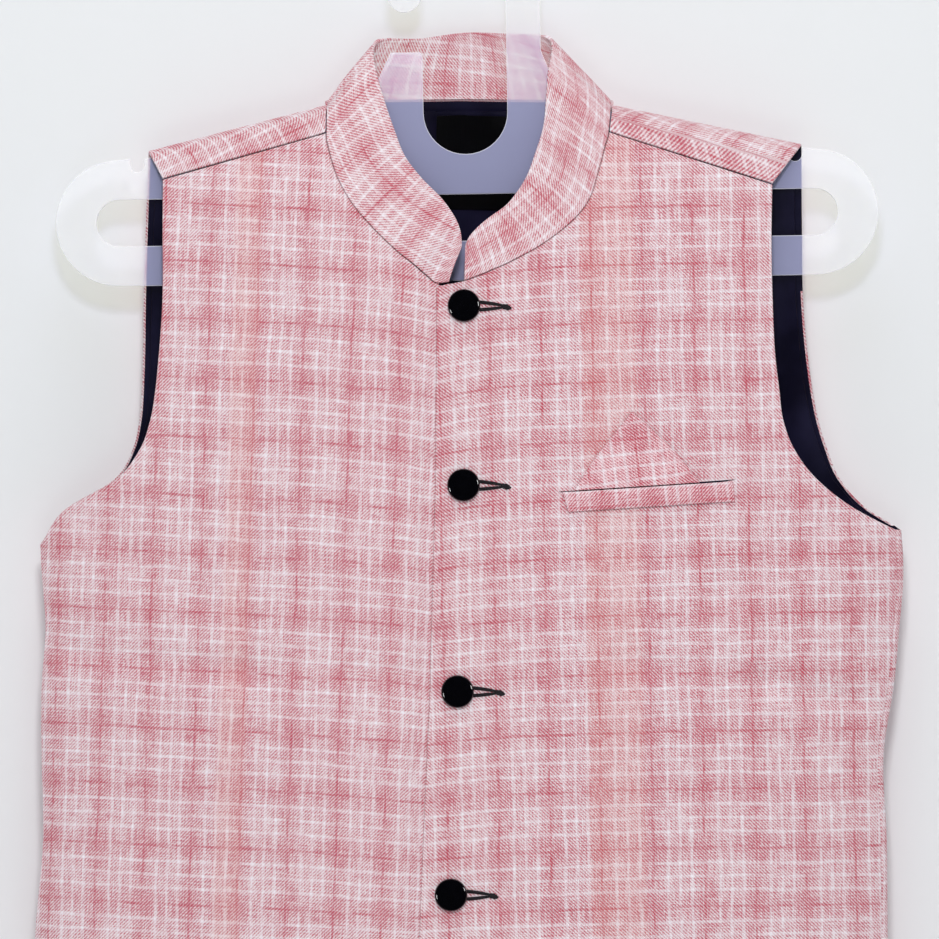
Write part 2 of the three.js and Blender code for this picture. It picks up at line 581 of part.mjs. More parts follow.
function buildHanger() {
  const { endX, centreZ, endRadius: r } = PLATE;
  const shape = new THREE.Shape();
  const slope = (x) => -104 - 0.2275 * (x - 88); // shoulder edge under the cloth
  const notch = { x: 198, half: 4, depthZ: -132.5 };
  shape.moveTo(-endX, centreZ - r);
  shape.lineTo(endX, centreZ - r);
  shape.absarc(endX, centreZ, r, -Math.PI / 2, Math.PI / 2, false);
  shape.lineTo(notch.x + notch.half, slope(190) - 1.2);
  shape.lineTo(notch.x + notch.half, notch.depthZ);
  shape.absarc(notch.x, notch.depthZ, notch.half, 0, -Math.PI, true);
  shape.lineTo(notch.x - notch.half, slope(notch.x - notch.half) - 0.8);
  shape.lineTo(62, slope(62) - 0.8);
  shape.lineTo(52.7, -84);
  shape.lineTo(HOOK.outer, HOOK.prongZ);
  shape.absarc(0, -HOOK.inner, HOOK.outer, 0, Math.PI, false);
  const tip = (HOOK.outer - HOOK.inner) / 2;
  shape.absarc(-HOOK.inner - tip, HOOK.tipZ, tip, Math.PI, 2 * Math.PI, false);
  shape.absarc(0, -HOOK.inner, HOOK.inner, Math.PI, 0, true);
  shape.absarc(0, HOOK.uBottomZ, HOOK.inner, 0, -Math.PI, true);
  shape.lineTo(-HOOK.inner, HOOK.prongZ - 1.5);
  shape.lineTo(-HOOK.inner - 1.5, HOOK.prongZ);
  shape.lineTo(-HOOK.outer + 1.5, HOOK.prongZ);
  shape.lineTo(-52.7, -84);
  shape.lineTo(-62, slope(62) - 0.8);
  shape.lineTo(-notch.x + notch.half, slope(notch.x - notch.half) - 0.8);
  shape.absarc(-notch.x, notch.depthZ, notch.half, 0, -Math.PI, true);
  shape.lineTo(-notch.x - notch.half, slope(190) - 1.2);
  shape.absarc(-endX, centreZ, r, Math.PI / 2, 1.5 * Math.PI, false);

  const slot = new THREE.Path();
  const slotX = PLATE.slotEndX - PLATE.slotRadius;
  slot.absarc(-slotX, centreZ, PLATE.slotRadius, 1.5 * Math.PI, Math.PI / 2, true);
  slot.absarc(slotX, centreZ, PLATE.slotRadius, Math.PI / 2, -Math.PI / 2, true);
  shape.holes.push(slot);

  const bevel = 0.4;
  const geometry = new THREE.ExtrudeGeometry(shape, {
    depth: PLATE.thick - 2 * bevel, bevelEnabled: true, bevelThickness: bevel, bevelSize: bevel,
    bevelOffset: -bevel, bevelSegments: 1, curveSegments: 10,
  });
  geometry.translate(0, 0, bevel - PLATE.thick / 2);
  geometry.rotateX(Math.PI / 2); // the outline's height becomes +Z
  const mesh = add('hanger', geometry, frosted);
  mesh.rotation.y = -HANGER_TILT;
}

buildHanger();
buildBack();
buildFront('front_right', 'right');
buildFront('front_left', 'left');
buildCollar();
buildLining();
buildLabel();
buildPocket();
buildButtons();

export default jacket;
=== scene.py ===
"""Sleeveless stand-collar jacket on a flat plastic hanger, dressed for rendering.

Lengths in this file are millimetres until a mesh is written, which is in metres. The origin is
the seat of the hanger's hook, +Z is up and the front of the jacket faces -Y. Right and left are
the wearer's.
"""

import logging
import math
from dataclasses import dataclass, field
from enum import Enum

import bpy
import numpy as np
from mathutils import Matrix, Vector

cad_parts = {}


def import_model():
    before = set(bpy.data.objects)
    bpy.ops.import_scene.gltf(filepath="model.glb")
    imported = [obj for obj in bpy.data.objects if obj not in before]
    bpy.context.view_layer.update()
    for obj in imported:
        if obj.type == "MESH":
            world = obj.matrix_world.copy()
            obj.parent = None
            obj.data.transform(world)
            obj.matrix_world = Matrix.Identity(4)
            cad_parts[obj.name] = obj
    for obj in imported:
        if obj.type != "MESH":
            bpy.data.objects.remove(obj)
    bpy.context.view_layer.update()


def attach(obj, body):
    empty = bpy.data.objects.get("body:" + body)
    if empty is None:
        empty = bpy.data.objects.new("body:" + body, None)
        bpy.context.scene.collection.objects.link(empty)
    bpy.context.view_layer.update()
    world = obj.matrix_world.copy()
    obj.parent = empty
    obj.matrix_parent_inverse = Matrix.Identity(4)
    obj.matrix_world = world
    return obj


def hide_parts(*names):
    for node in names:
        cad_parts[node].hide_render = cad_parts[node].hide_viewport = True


LOG = logging.getLogger("nehru_jacket")
MM = 0.001
WEAVE = "weave"  # the UV map that holds millimetres along the cloth, across and up
ROOT = "root"
Array = np.ndarray

CLOTH = 2.0  # interlined front, back and collar with their turned edges
LINING = 0.8
SEAM_GAP = 0.2
NECK_GAP = 0.25  # open line between the collar and the panels that it is set on
LAY_GAP = 0.5  # under the welt, the square and the buttons
FOLD_LIFT = 6.5  # half width of the roll of cloth over the shoulder line
CORNER = 1.0  # the under front passes the top one by this much below the collar
OVERLAP = 20.0  # the under front passes the button line by this much
TUCK_FROM, TUCK_TO = 14.0, 3.0  # it drops behind the top front over this stretch
HEM_Z = -796.0
SEAM_INSET = 3.3  # the back rolls to the front by this much at the wearer's left
NECK_TURNING = 14.0  # cloth turned in round each neck end of the shoulder fold
LEFT_TURNING_TOP = -214.0  # the left arm edge shows its turning below this height
FACING = 60.0  # width of cloth turned in down both front edges
RIDGE_PLACE, RIDGE_WIDTH, RIDGE_RISE = 6.5, 1.7, 0.35  # seam allowance felt along the top front
BUTTON_HEIGHTS = (-220.8, -328.2, -451.8, -573.6, -696.0)


class Side(Enum):
    """Side of the jacket, as the wearer names it."""

    RIGHT = "right"
    LEFT = "left"


NECK_BASE = {Side.RIGHT: -208.4, Side.LEFT: -209.4}  # height of the necks at the closure

# ---------- tables of the form ----------

# height, wearer's right fold, wearer's left fold, front stand-off, back stand-off
BODY = np.array([
    (-796, -263, 257, 19, 15), (-700, -260, 256.5, 20, 16), (-595, -257, 256, 21, 17),
    (-541, -252.5, 255.5, 21.5, 18), (-487, -253.5, 254, 22, 18.5), (-451, -253.5, 259.5, 22, 19),
    (-415, -251, 263, 22, 19), (-379, -253.5, 265.5, 22, 19), (-361, -254.6, 264.8, 22, 19),
])
# height, edge of the top front, line of the buttons
CLOSURE = np.array([
    (-796, -31, -16), (-696, -29, -11), (-573.6, -25, -6.9), (-451.8, -19.7, -3),
    (-328.2, -16.4, 0.6), (-277, -16.0, 0.8), (-208.5, -15.6, 0.9),
])
# height and place of the armhole edges
ARMHOLE = {
    ("front", Side.RIGHT): np.array([
        (-364, -254.4), (-343, -239), (-325, -208.5), (-307, -194), (-289, -187.5), (-271, -184.5),
        (-253, -182.7), (-217, -180.3), (-176, -180.3), (-144.4, -180.3)]),
    ("front", Side.LEFT): np.array([
        (-355, 260.2), (-343, 237), (-325, 213.3), (-307, 199.5), (-289, 192.6), (-271, 190.3),
        (-253, 188.1), (-217, 186.3), (-176, 185.7), (-147.4, 186.3)]),
    ("back", Side.RIGHT): np.array([
        (-364, -254.4), (-343, -240), (-325, -210.5), (-307, -199.5), (-289, -195.3),
        (-271, -193.9), (-253, -193.2), (-217, -192.6), (-176, -191.4), (-127.2, -189.3)]),
    ("back", Side.LEFT): np.array([
        (-355, 264.3), (-343, 245), (-325, 228.3), (-307, 220.5), (-289, 215), (-271, 211.5),
        (-253, 209), (-217, 205.8), (-176, 205), (-123, 204.3)]),
}
# ends of the fold line over the hanger and of the forward seam below it, as (x, z)
SHOULDER = {
    Side.RIGHT: {"neck": (-81.3, -99.2), "arm": (-189.3, -127.2),
                 "neck_seam": (-81.9, -116.4), "arm_seam": (-180.3, -144)},
    Side.LEFT: {"neck": (89.7, -99.2), "arm": (204.3, -123),
                "neck_seam": (87.9, -115.8), "arm_seam": (186.3, -147)},
}
# collar from its right end round the back to its left end: seam x, seam z, top x, top z, top y
COLLAR = np.array([
    (-7.8, -206.7, 0.0, -185.0, -22), (-15.9, -207.0, -0.6, -177.0, -22),
    (-21.9, -202.2, -3.3, -169.2, -22), (-30.3, -195.0, -8.1, -161.4, -21),
    (-38.7, -188.4, -13.5, -154.6, -20), (-53.7, -174.0, -24.9, -143.0, -18),
    (-66.3, -159.0, -34.5, -130.0, -15), (-75.3, -142.8, -40.5, -115.0, -12),
    (-80.7, -124.8, -46.5, -97.5, -8), (-81.9, -116.9, -50.7, -83.0, -4),
    (-81.3, -97.4, -53.7, -68.0, 2), (-77.0, -96.6, -52.4, -60.0, 9),
    (-66.0, -96.0, -45.5, -58.2, 16), (-37.5, -96.0, -26.5, -58.2, 22),
    (1.5, -95.4, 1.5, -54.5, 24), (40.5, -96.0, 28.5, -55.2, 22), (73.5, -96.2, 46.5, -56.0, 16),
    (85.0, -96.8, 52.8, -57.5, 9), (89.4, -97.2, 53.9, -65.0, 2), (87.9, -116.3, 51.3, -79.0, -4),
    (85.5, -124.8, 50.1, -94.0, -8), (82.0, -138.0, 48.3, -112.2, -12),
    (76.0, -156.6, 43.5, -128.4, -15), (65.1, -170.4, 37.5, -144.0, -18),
    (47.1, -184.2, 27.3, -158.6, -20), (28.5, -194.4, 16.5, -166.8, -21),
    (17.7, -199.2, 9.3, -172.8, -22), (9.3, -202.8, 3.9, -178.8, -22),
    (0.9, -205.8, 1.5, -184.0, -22),
])
RIGHT_FOLD, LEFT_FOLD, COLLAR_END = 10.0, 18.0, 28.0  # places along the collar

# creases as x1, z1, x2, z2, width, height; a dent is negative
FRONT_CREASES = np.array([
    (-250, -428, -130, -440, 9, -2.6), (-130, -440, -30, -446, 12, -1.6),
    (95, -436, 180, -448, 11, -2.0), (180, -448, 258, -462, 9, -3.0),
    (0, -230, 70, -205, 12, 1.6), (20, -578, 60, -590, 9, -1.6),
    (-226, -352, -150, -402, 11, -0.9), (222, -352, 150, -398, 11, -0.9),
    (-60, -196, -24, -222, 9, 0.8), (14, -331, 60, -322, 6, -0.5), (12, -455, 62, -446, 6, -0.6),
    (8, -577, 66, -566, 7, -0.6), (-30, -330, -84, -322, 8, 0.5), (-34, -452, -96, -446, 8, 0.6),
    (-190, -796, -178, -630, 17, 1.5), (-104, -796, -98, -668, 19, -1.3),
    (104, -796, 96, -655, 20, -1.4), (190, -796, 182, -620, 17, 1.5),
    (-170, -160, -120, -230, 16, -0.7), (172, -165, 130, -240, 16, -0.7),
])
BACK_CREASES = np.array([
    (-248, -430, -120, -444, 10, -2.0), (-120, -444, 20, -450, 13, -1.3),
    (20, -450, 150, -446, 12, -1.6), (150, -446, 256, -460, 10, -2.2),
    (-226, -352, -120, -420, 14, 1.1), (228, -352, 130, -415, 14, 1.1),
    (-150, -170, -40, -230, 18, -0.8), (160, -170, 50, -236, 18, -0.8),
    (-180, -796, -170, -610, 18, 1.6), (-90, -796, -84, -640, 20, -1.4),
    (2, -796, 4, -655, 20, 1.3), (96, -796, 90, -630, 20, -1.4), (184, -796, 176, -615, 18, 1.6),
])


# ---------- numbers ----------


def smooth(value: Array) -> Array:
    """Smooth step from 0 to 1."""
    t = np.clip(value, 0.0, 1.0)
    return t * t * (3.0 - 2.0 * t)


def mix(a: Array, b: Array, t: Array) -> Array:
    """Straight mix of a and b."""
    return a + (b - a) * t


def column_at(table: Array, column: int, z: Array) -> Array:
    """Value of a table's column at height z, on straight lines between its rows."""
    return np.interp(z, table[:, 0], table[:, column])


def smooth_column(table: Array, column: int, z: Array) -> Array:
    """Value of a table's column at height z, on a smooth curve through its rows."""
    xs, ys = table[:, 0], table[:, column]
    slopes = np.gradient(ys, xs)
    i = np.clip(np.searchsorted(xs, z, side="right") - 1, 0, len(xs) - 2)
    h = xs[i + 1] - xs[i]
    t = np.clip((z - xs[i]) / h, 0.0, 1.0)
    return ((1 + 2 * t) * (1 - t) ** 2 * ys[i] + t * (1 - t) ** 2 * h * slopes[i]
            + t * t * (3 - 2 * t) * ys[i + 1] + t * t * (t - 1) * h * slopes[i + 1])


def rows_at(table: Array, place: Array) -> Array:
    """Rows of a table at fractional places, on a smooth curve through its rows."""
    place = np.asarray(place, float)
    i = np.clip(np.floor(place).astype(int), 0, len(table) - 2)
    t = (place - i)[..., None]
    a, b, c, d = (table[np.clip(i + k, 0, len(table) - 1)] for k in (-1, 0, 1, 2))
    return b + 0.5 * t * (c - a + t * (2 * a - 5 * b + 4 * c - d + t * (3 * (b - c) + d - a)))


# ---------- the form of the hanging cloth ----------


def shoulder_line(x: Array) -> Array:
    """Height of the fold over the hanger at x."""
    out = []
    for side in (Side.RIGHT, Side.LEFT):
        (x0, z0), (x1, z1) = SHOULDER[side]["neck"], SHOULDER[side]["arm"]
        out.append(z0 + (z1 - z0) * (x - x0) / (x1 - x0))
    return np.where(x < 0, out[0], out[1])


def across_body(x: Array, z: Array) -> Array:
    """0 on the middle line of the body, 1 at its side folds."""
    right, left = column_at(BODY, 1, z), column_at(BODY, 2, z)
    return np.clip(np.abs(x - (left + right) / 2) / ((left - right) / 2), 0.0, 1.0)


def stand_off(x: Array, z: Array, column: int) -> Array:
    """How far the cloth stands off the hanger plane before creases.

    Args:
        x: Place across.
        z: Height.
        column: 3 for the front of BODY, 4 for the back.

    Returns:
        Distance from the hanger plane.
    """
    roll = (1 - across_body(x, z) ** 2.6) ** 0.65
    below = np.maximum(0.0, shoulder_line(x) - z)
    reach = mix(10.0, 46.0, np.clip(np.abs(x) / 190, 0, 1))
    lift = FOLD_LIFT * (1 - np.exp(-below / 2))
    return roll * (column_at(BODY, column, z) * (1 - np.exp(-below / reach)) + lift)


def crease_height(creases: Array, x: Array, z: Array) -> Array:
    """Sum of the soft uneven creases of a panel at a place."""
    fade = np.clip((1 - across_body(x, z)) / 0.08, 0, 1)
    total = np.zeros(np.broadcast(x, z).shape)
    for x1, z1, x2, z2, width, height in creases:
        dx, dz = x2 - x1, z2 - z1
        t = np.clip(((x - x1) * dx + (z - z1) * dz) / (dx * dx + dz * dz), 0, 1)
        off = np.hypot(x - x1 - t * dx, z - z1 - t * dz)
        uneven = 0.82 + 0.18 * np.sin(7.0 * t + x1)
        total = total + height * uneven * np.exp(-((off / width) ** 2))
    lazy = 0.35 * np.sin(x / 31 + z / 57) * np.sin(z / 43 - x / 71)
    return fade * (total + lazy)


def front_y(x: Array, z: Array) -> Array:
    """Depth of the outer face of the fronts."""
    from_edge = x - column_at(CLOSURE, 1, z)
    ridge = RIDGE_RISE * np.exp(-(((from_edge - RIDGE_PLACE) / RIDGE_WIDTH) ** 2))
    return -stand_off(x, z, 3) - crease_height(FRONT_CREASES, x, z) - ridge


def under_front_y(x: Array, z: Array) -> Array:
    """Depth of the under front, which drops behind the top front."""
    edge = column_at(CLOSURE, 1, z)
    drop = smooth((x - edge + TUCK_FROM) / (TUCK_FROM - TUCK_TO))
    return front_y(x, z) + (CLOTH + 0.9) * drop


def back_y(x: Array, z: Array) -> Array:
    """Depth of the outer face of the back, drawn out to the neck ring at its top."""
    ring = 25.0 * np.maximum(0.0, 1 - ((x - 4.2) / 87) ** 2) ** 0.8
    plain = stand_off(x, z, 4)
    at_neck = stand_off(x, np.full_like(np.asarray(x, float), -96.0), 4)
    out = plain + np.maximum(0.0, ring - at_neck) * np.exp(-np.maximum(0.0, -96 - z) / 35)
    return out + crease_height(BACK_CREASES, x, z) * np.clip((-130 - z) / 40, 0, 1)


def collar_seam(place: Array) -> Array:
    """Points of the collar's lower edge at places along it."""
    row = rows_at(COLLAR, place)
    x, z = row[..., 0], row[..., 1]
    behind = (place > RIGHT_FOLD) & (place < LEFT_FOLD)
    y = np.where(place <= RIGHT_FOLD, under_front_y(x, z), front_y(x, z))
    y = np.where(behind, back_y(x, z), y)
    y = np.where((place == RIGHT_FOLD) | (place == LEFT_FOLD), 0.0, y)
    return np.stack([x, y, z], axis=-1)


def neck_edge(place: Array) -> Array:
    """Neck edge of the panels: the collar seam moved away from the collar."""
    seam = collar_seam(place)
    behind = (place > RIGHT_FOLD) & (place < LEFT_FOLD)
    away = np.stack([seam[..., 0] - 2.0, np.zeros_like(place), seam[..., 2] + 150.0], axis=-1)
    away /= np.linalg.norm(away, axis=-1, keepdims=True)
    away = np.where(behind[..., None], np.array([0.0, 0.0, -1.0]), away)
    return seam + away * NECK_GAP


# ---------- finishes ----------


def linear(code: str) -> tuple[float, float, float, float]:
    """Turns an sRGB hex colour into linear red, green, blue and 1."""
    parts = [int(code[i:i + 2], 16) / 255 for i in (1, 3, 5)]
    red, green, blue = (c / 12.92 if c <= 0.04045 else ((c + 0.055) / 1.055) ** 2.4 for c in parts)
    return red, green, blue, 1.0


def plug(tree: bpy.types.NodeTree, node: bpy.types.Node, inputs: dict) -> None:
    """Gives a node's inputs their values and links.

    Args:
        tree: Node tree of the material.
        node: The node.
        inputs: Values, sockets or nodes (their first output) by input name or number.
    """
    for key, value in inputs.items():
        if isinstance(value, bpy.types.Node):
            value = value.outputs[0]
        if isinstance(value, bpy.types.NodeSocket):
            tree.links.new(value, node.inputs[key])
        else:
            node.inputs[key].default_value = value


def add_node(tree: bpy.types.NodeTree, kind: str, inputs: dict | None = None,
             **settings: object) -> bpy.types.Node:
    """Adds a node with its settings and links.

    Args:
        tree: Node tree of the material.
        kind: Type name of the node, without the part that every shader node has.
        inputs: Its inputs, as plug takes them.
        **settings: Properties of the node.

    Returns:
        The new node.
    """
    node = tree.nodes.new(f"ShaderNode{kind}")
    for name, value in settings.items():
        setattr(node, name, value)
    plug(tree, node, inputs or {})
    return node


def new_material(name: str) -> tuple[bpy.types.Material, bpy.types.NodeTree, bpy.types.Node]:
    """Makes an empty node material.

    Returns:
        The material, its tree and its surface shader.
    """
    material = bpy.data.materials.new(name)
    material.use_nodes = True
    tree = material.node_tree
    return material, tree, tree.nodes["Principled BSDF"]


class TwillLean(Enum):
    """Which way the twill's diagonals rise, seen from outside."""

    RISES_TO_RIGHT = -1.0
    RISES_TO_LEFT = 1.0


@dataclass(frozen=True)
class CheckTwill:
    """Linen-look cotton twill, yarn-dyed in a fine check and soft to the hand.

    Rose and near-white yarns make the diagonals; single red ends and picks frame groups of
    three white ones. The slubs in the yarn break every line.
    """

    name: str
    lean: TwillLean
    bar: tuple[float, float] = (2000.0, 10.0)  # middle and half width of a warmer dye bar, mm
    seed: float = 0.0
    pale: str = "#e9dce0"
    rose: str = "#c06371"
    red: str = "#b82c44"
    white: str = "#f2eef4"
    salmon: str = "#e09a8c"
    across_period: float = 30.0
    down_period: float = 34.6
    twill_pitch: float = 2.1  # mm along the thread; coarser than the real 1 mm, so that it shows

    def stripes(self, tree: bpy.types.NodeTree, across: bpy.types.Node, along: bpy.types.Node,
                period: float, middle: float, gap: float, seed: float) -> tuple:
        """Adds one set of check lines.

        Args:
            tree: Node tree of the material.
            across: Millimetres across the lines.
            along: Millimetres along them.
            period: Distance from red line to red line.
            middle: Place of the middle white line after a red one.
            gap: Distance between white lines.
            seed: Offset of the slubs.

        Returns:
            Masks of the red lines, the white lines and the pinker ground by the red ones.
        """
        turns = add_node(tree, "Math", {0: across, 1: period}, operation="DIVIDE")
        number = add_node(tree, "Math", {0: turns}, operation="ROUND")
        off = add_node(tree, "Math", {0: turns, 1: number}, operation="SUBTRACT")
        off = add_node(tree, "Math", {0: off}, operation="ABSOLUTE")
        line = add_node(tree, "MapRange", {
            0: off, 1: 0.35 / period, 2: 1.0 / period, 3: 1.0, 4: 0.0},
            interpolation_type="SMOOTHSTEP")
        ground = add_node(tree, "MapRange", {
            0: off, 1: 0.05, 2: 0.34, 3: 1.0, 4: 0.0}, interpolation_type="SMOOTHSTEP")
        row = add_node(tree, "Math", {0: number, 1: 7.31, 2: seed}, operation="MULTIPLY_ADD")
        run = add_node(tree, "Math", {0: along, 1: 0.055}, operation="MULTIPLY")
        key = add_node(tree, "CombineXYZ", {0: row, 1: run})
        slub = add_node(tree, "TexNoise", {
            "Vector": key, "Scale": 1.0, "Detail": 3.0, "Roughness": 0.65})
        patch = add_node(tree, "MapRange", {0: slub, 1: 0.36, 2: 0.62, 3: 0.12, 4: 1.0})
        red = add_node(tree, "Math", {0: line, 1: patch}, operation="MULTIPLY")

        part = add_node(tree, "Math", {0: turns}, operation="FRACT")
        part = add_node(tree, "Math", {0: part, 1: period, 2: -middle}, operation="MULTIPLY_ADD")
        near = add_node(tree, "Math", {0: part, 1: gap}, operation="DIVIDE")
        near = add_node(tree, "Math", {0: near}, operation="ROUND")
        near = add_node(tree, "Math", {0: near, 1: -1.0}, operation="MAXIMUM")
        near = add_node(tree, "Math", {0: near, 1: 1.0}, operation="MINIMUM")
        off = add_node(tree, "Math", {0: near, 1: -gap, 2: part}, operation="MULTIPLY_ADD")
        off = add_node(tree, "Math", {0: off}, operation="ABSOLUTE")
        line = add_node(tree, "MapRange", {0: off, 1: 0.3, 2: 1.4, 3: 1.0, 4: 0.0},
                        interpolation_type="SMOOTHSTEP")
        row = add_node(tree, "Math", {0: turns, 1: 5.0, 2: seed + 40}, operation="MULTIPLY_ADD")
        key = add_node(tree, "CombineXYZ", {0: row, 1: run})
        slub = add_node(tree, "TexNoise", {
            "Vector": key, "Scale": 1.4, "Detail": 3.0, "Roughness": 0.6})
        patch = add_node(tree, "MapRange", {0: slub, 1: 0.34, 2: 0.62, 3: 0.25, 4: 1.0})
        white = add_node(tree, "Math", {0: line, 1: patch}, operation="MULTIPLY")
        return red, white, ground

    def build(self) -> bpy.types.Material:
        """Makes the node material."""
        material, tree, surface = new_material(self.name)
        place = add_node(tree, "UVMap", uv_map=WEAVE)
        drift = add_node(tree, "TexNoise", {"Vector": place, "Scale": 0.02, "Detail": 1.0})
        drift = add_node(tree, "VectorMath", {
            0: drift.outputs["Color"], 1: (3.0, 3.0, 0.0), 2: (-1.5, -1.5, 0.0)},
            operation="MULTIPLY_ADD")
        fray = add_node(tree, "TexNoise", {"Vector": place, "Scale": 0.5, "Detail": 1.0})
        fray = add_node(tree, "VectorMath", {
            0: fray.outputs["Color"], 1: (0.7, 0.7, 0.0), 2: drift}, operation="MULTIPLY_ADD")
        moved = add_node(tree, "VectorMath", {0: place, 1: fray}, operation="ADD")
        parts = add_node(tree, "SeparateXYZ", {0: moved})
        across, up = parts.outputs[0], parts.outputs[1]
        down = add_node(tree, "Math", {0: up, 1: -1.0}, operation="MULTIPLY")
        red_a, white_a, ground_a = self.stripes(
            tree, across, up, self.across_period, 15.6, 6.9, self.seed)
        red_d, white_d, ground_d = self.stripes(
            tree, down, across, self.down_period, 16.9, 7.95, self.seed + 17)

        # diagonals of the twill, broken by the slubs of warp and weft
        plain = add_node(tree, "SeparateXYZ", {0: place})
        diagonal = add_node(tree, "Math", {
            0: plain.outputs[1], 1: self.lean.value, 2: plain.outputs[0]}, operation="MULTIPLY_ADD")
        wave = add_node(tree, "Math", {0: diagonal, 1: math.tau / self.twill_pitch},
                        operation="MULTIPLY")
        wave = add_node(tree, "Math", {0: wave}, operation="SINE")
        yarns = []
        for scale in ((1.1, 0.07, 1.0), (0.07, 1.1, 1.0)):
            yarn = add_node(tree, "Mapping", {0: place, "Scale": scale})
            yarns.append(add_node(tree, "TexNoise", {"Vector": yarn, "Scale": 1.0, "Detail": 2.0}))
        yarn = add_node(tree, "Math", {0: yarns[0], 1: yarns[1]}, operation="ADD")
        fleck = add_node(tree, "TexNoise", {"Vector": place, "Scale": 1.0, "Detail": 2.0})
        cloud = add_node(tree, "TexNoise", {"Vector": place, "Scale": 0.016, "Detail": 2.0})
        tone = -1.60  # 0 is pale yarn and 1 is rose; every part has its share
        for part, share in ((wave, 0.40), (yarn, 1.2), (fleck, 1.35), (cloud, 0.28),
                            (ground_a, 0.13), (ground_d, 0.13)):
            tone = add_node(tree, "Math", {0: part, 1: share, 2: tone}, operation="MULTIPLY_ADD")
        colour = add_node(tree, "Mix", {
            0: tone, 6: linear(self.pale), 7: linear(self.rose)}, data_type="RGBA")

        white = add_node(tree, "Math", {0: white_a, 1: white_d}, operation="ADD")
        white = add_node(tree, "Math", {0: white, 1: 0.5}, operation="MULTIPLY", use_clamp=True)
        red = add_node(tree, "Math", {0: red_a, 1: red_d}, operation="MAXIMUM")
        bead = add_node(tree, "Math", {0: wave, 1: 0.22, 2: 0.6}, operation="MULTIPLY_ADD")
        red = add_node(tree, "Math", {0: red, 1: bead}, operation="MULTIPLY", use_clamp=True)
        bar = add_node(tree, "Math", {0: across, 1: self.bar[0]}, operation="SUBTRACT")
        bar = add_node(tree, "Math", {0: bar}, operation="ABSOLUTE")
        bar = add_node(tree, "MapRange", {
            0: bar, 1: self.bar[1], 2: self.bar[1] + 5, 3: 0.16, 4: 0.0},
            interpolation_type="SMOOTHSTEP")
        for mask, hue in ((white, self.white), (red, self.red), (bar, self.salmon)):
            colour = add_node(tree, "Mix", {
                0: mask, 6: colour.outputs[2], 7: linear(hue)}, data_type="RGBA")
        rise = add_node(tree, "Math", {0: fleck, 1: 1.2, 2: wave}, operation="MULTIPLY_ADD")
        bump = add_node(tree, "Bump", {
            "Height": rise, "Strength": 0.35, "Distance": 0.0002})
        plug(tree, surface, {
            "Base Color": colour.outputs[2], "Normal": bump, "Roughness": 0.88,
            "Specular IOR Level": 0.25, "Sheen Weight": 0.12, "Sheen Roughness": 0.5})
        return material


@dataclass(frozen=True)
class Satin:
    """Polyester lining satin or woven label, calendered: near black, with a soft long gleam."""

    name: str
    dark: str
    light: str
    roughness: float
    ribs: float  # spacing of the warp ribs in mm, coarser than the real ones so that they show

    def build(self) -> bpy.types.Material:
        """Makes the node material."""
        material, tree, surface = new_material(self.name)
        place = add_node(tree, "TexCoord").outputs["Object"]
        cloud = add_node(tree, "TexNoise", {"Vector": place, "Scale": 26.0, "Detail": 3.0})
        tint = add_node(tree, "MapRange", {0: cloud, 1: 0.35, 2: 0.68, 3: 0.0, 4: 1.0})
        colour = add_node(tree, "Mix", {
            0: tint, 6: linear(self.dark), 7: linear(self.light)}, data_type="RGBA")
        squeeze = add_node(tree, "Mapping", {0: place, "Scale": (1.0, 1.0, 0.04)})
        threads = add_node(tree, "TexNoise", {
            "Vector": squeeze, "Scale": 1000.0 / self.ribs, "Detail": 2.0})
        rough = add_node(tree, "MapRange", {
            0: threads, 1: 0.3, 2: 0.7, 3: self.roughness - 0.07, 4: self.roughness + 0.07})
        bump = add_node(tree, "Bump", {
            "Height": threads, "Strength": 0.25, "Distance": 0.0001})
        plug(tree, surface, {
            "Base Color": colour.outputs[2], "Roughness": rough, "Normal": bump,
            "Specular IOR Level": 0.25})
        return material


@dataclass(frozen=True)
class CastPolyester:
    """Cast polyester button, tumbled to a high gloss: black with crisp window highlights."""

    name: str = "cast_polyester_black"

    def build(self) -> bpy.types.Material:
        """Makes the node material."""
        material, tree, surface = new_material(self.name)
        place = add_node(tree, "TexCoord").outputs["Object"]
        wear = add_node(tree, "TexNoise", {"Vector": place, "Scale": 420.0, "Detail": 3.0})
        rough = add_node(tree, "MapRange", {0: wear, 1: 0.3, 2: 0.7, 3: 0.05, 4: 0.11})
        colour = add_node(tree, "Mix", {
            0: wear, 6: linear("#030305"), 7: linear("#08080c")}, data_type="RGBA")
        plug(tree, surface, {"Base Color": colour.outputs[2], "Roughness": rough, "IOR": 1.56})
        return material


@dataclass(frozen=True)
class TwistedThread:
    """Black buttonhole twist, three plies laid together: matt, with a fine rope-like relief."""

    name: str = "buttonhole_twist_black"

    def build(self) -> bpy.types.Material:
        """Makes the node material."""
        material, tree, surface = new_material(self.name)
        place = add_node(tree, "TexCoord").outputs["Object"]
        plies = add_node(tree, "TexNoise", {"Vector": place, "Scale": 1400.0, "Detail": 2.0})
        colour = add_node(tree, "Mix", {
            0: plies, 6: linear("#0a090c"), 7: linear("#2a262c")}, data_type="RGBA")
        bump = add_node(tree, "Bump", {
            "Height": plies, "Strength": 0.6, "Distance": 0.0002})
        plug(tree, surface, {
            "Base Color": colour.outputs[2], "Normal": bump, "Roughness": 0.75})
        return material


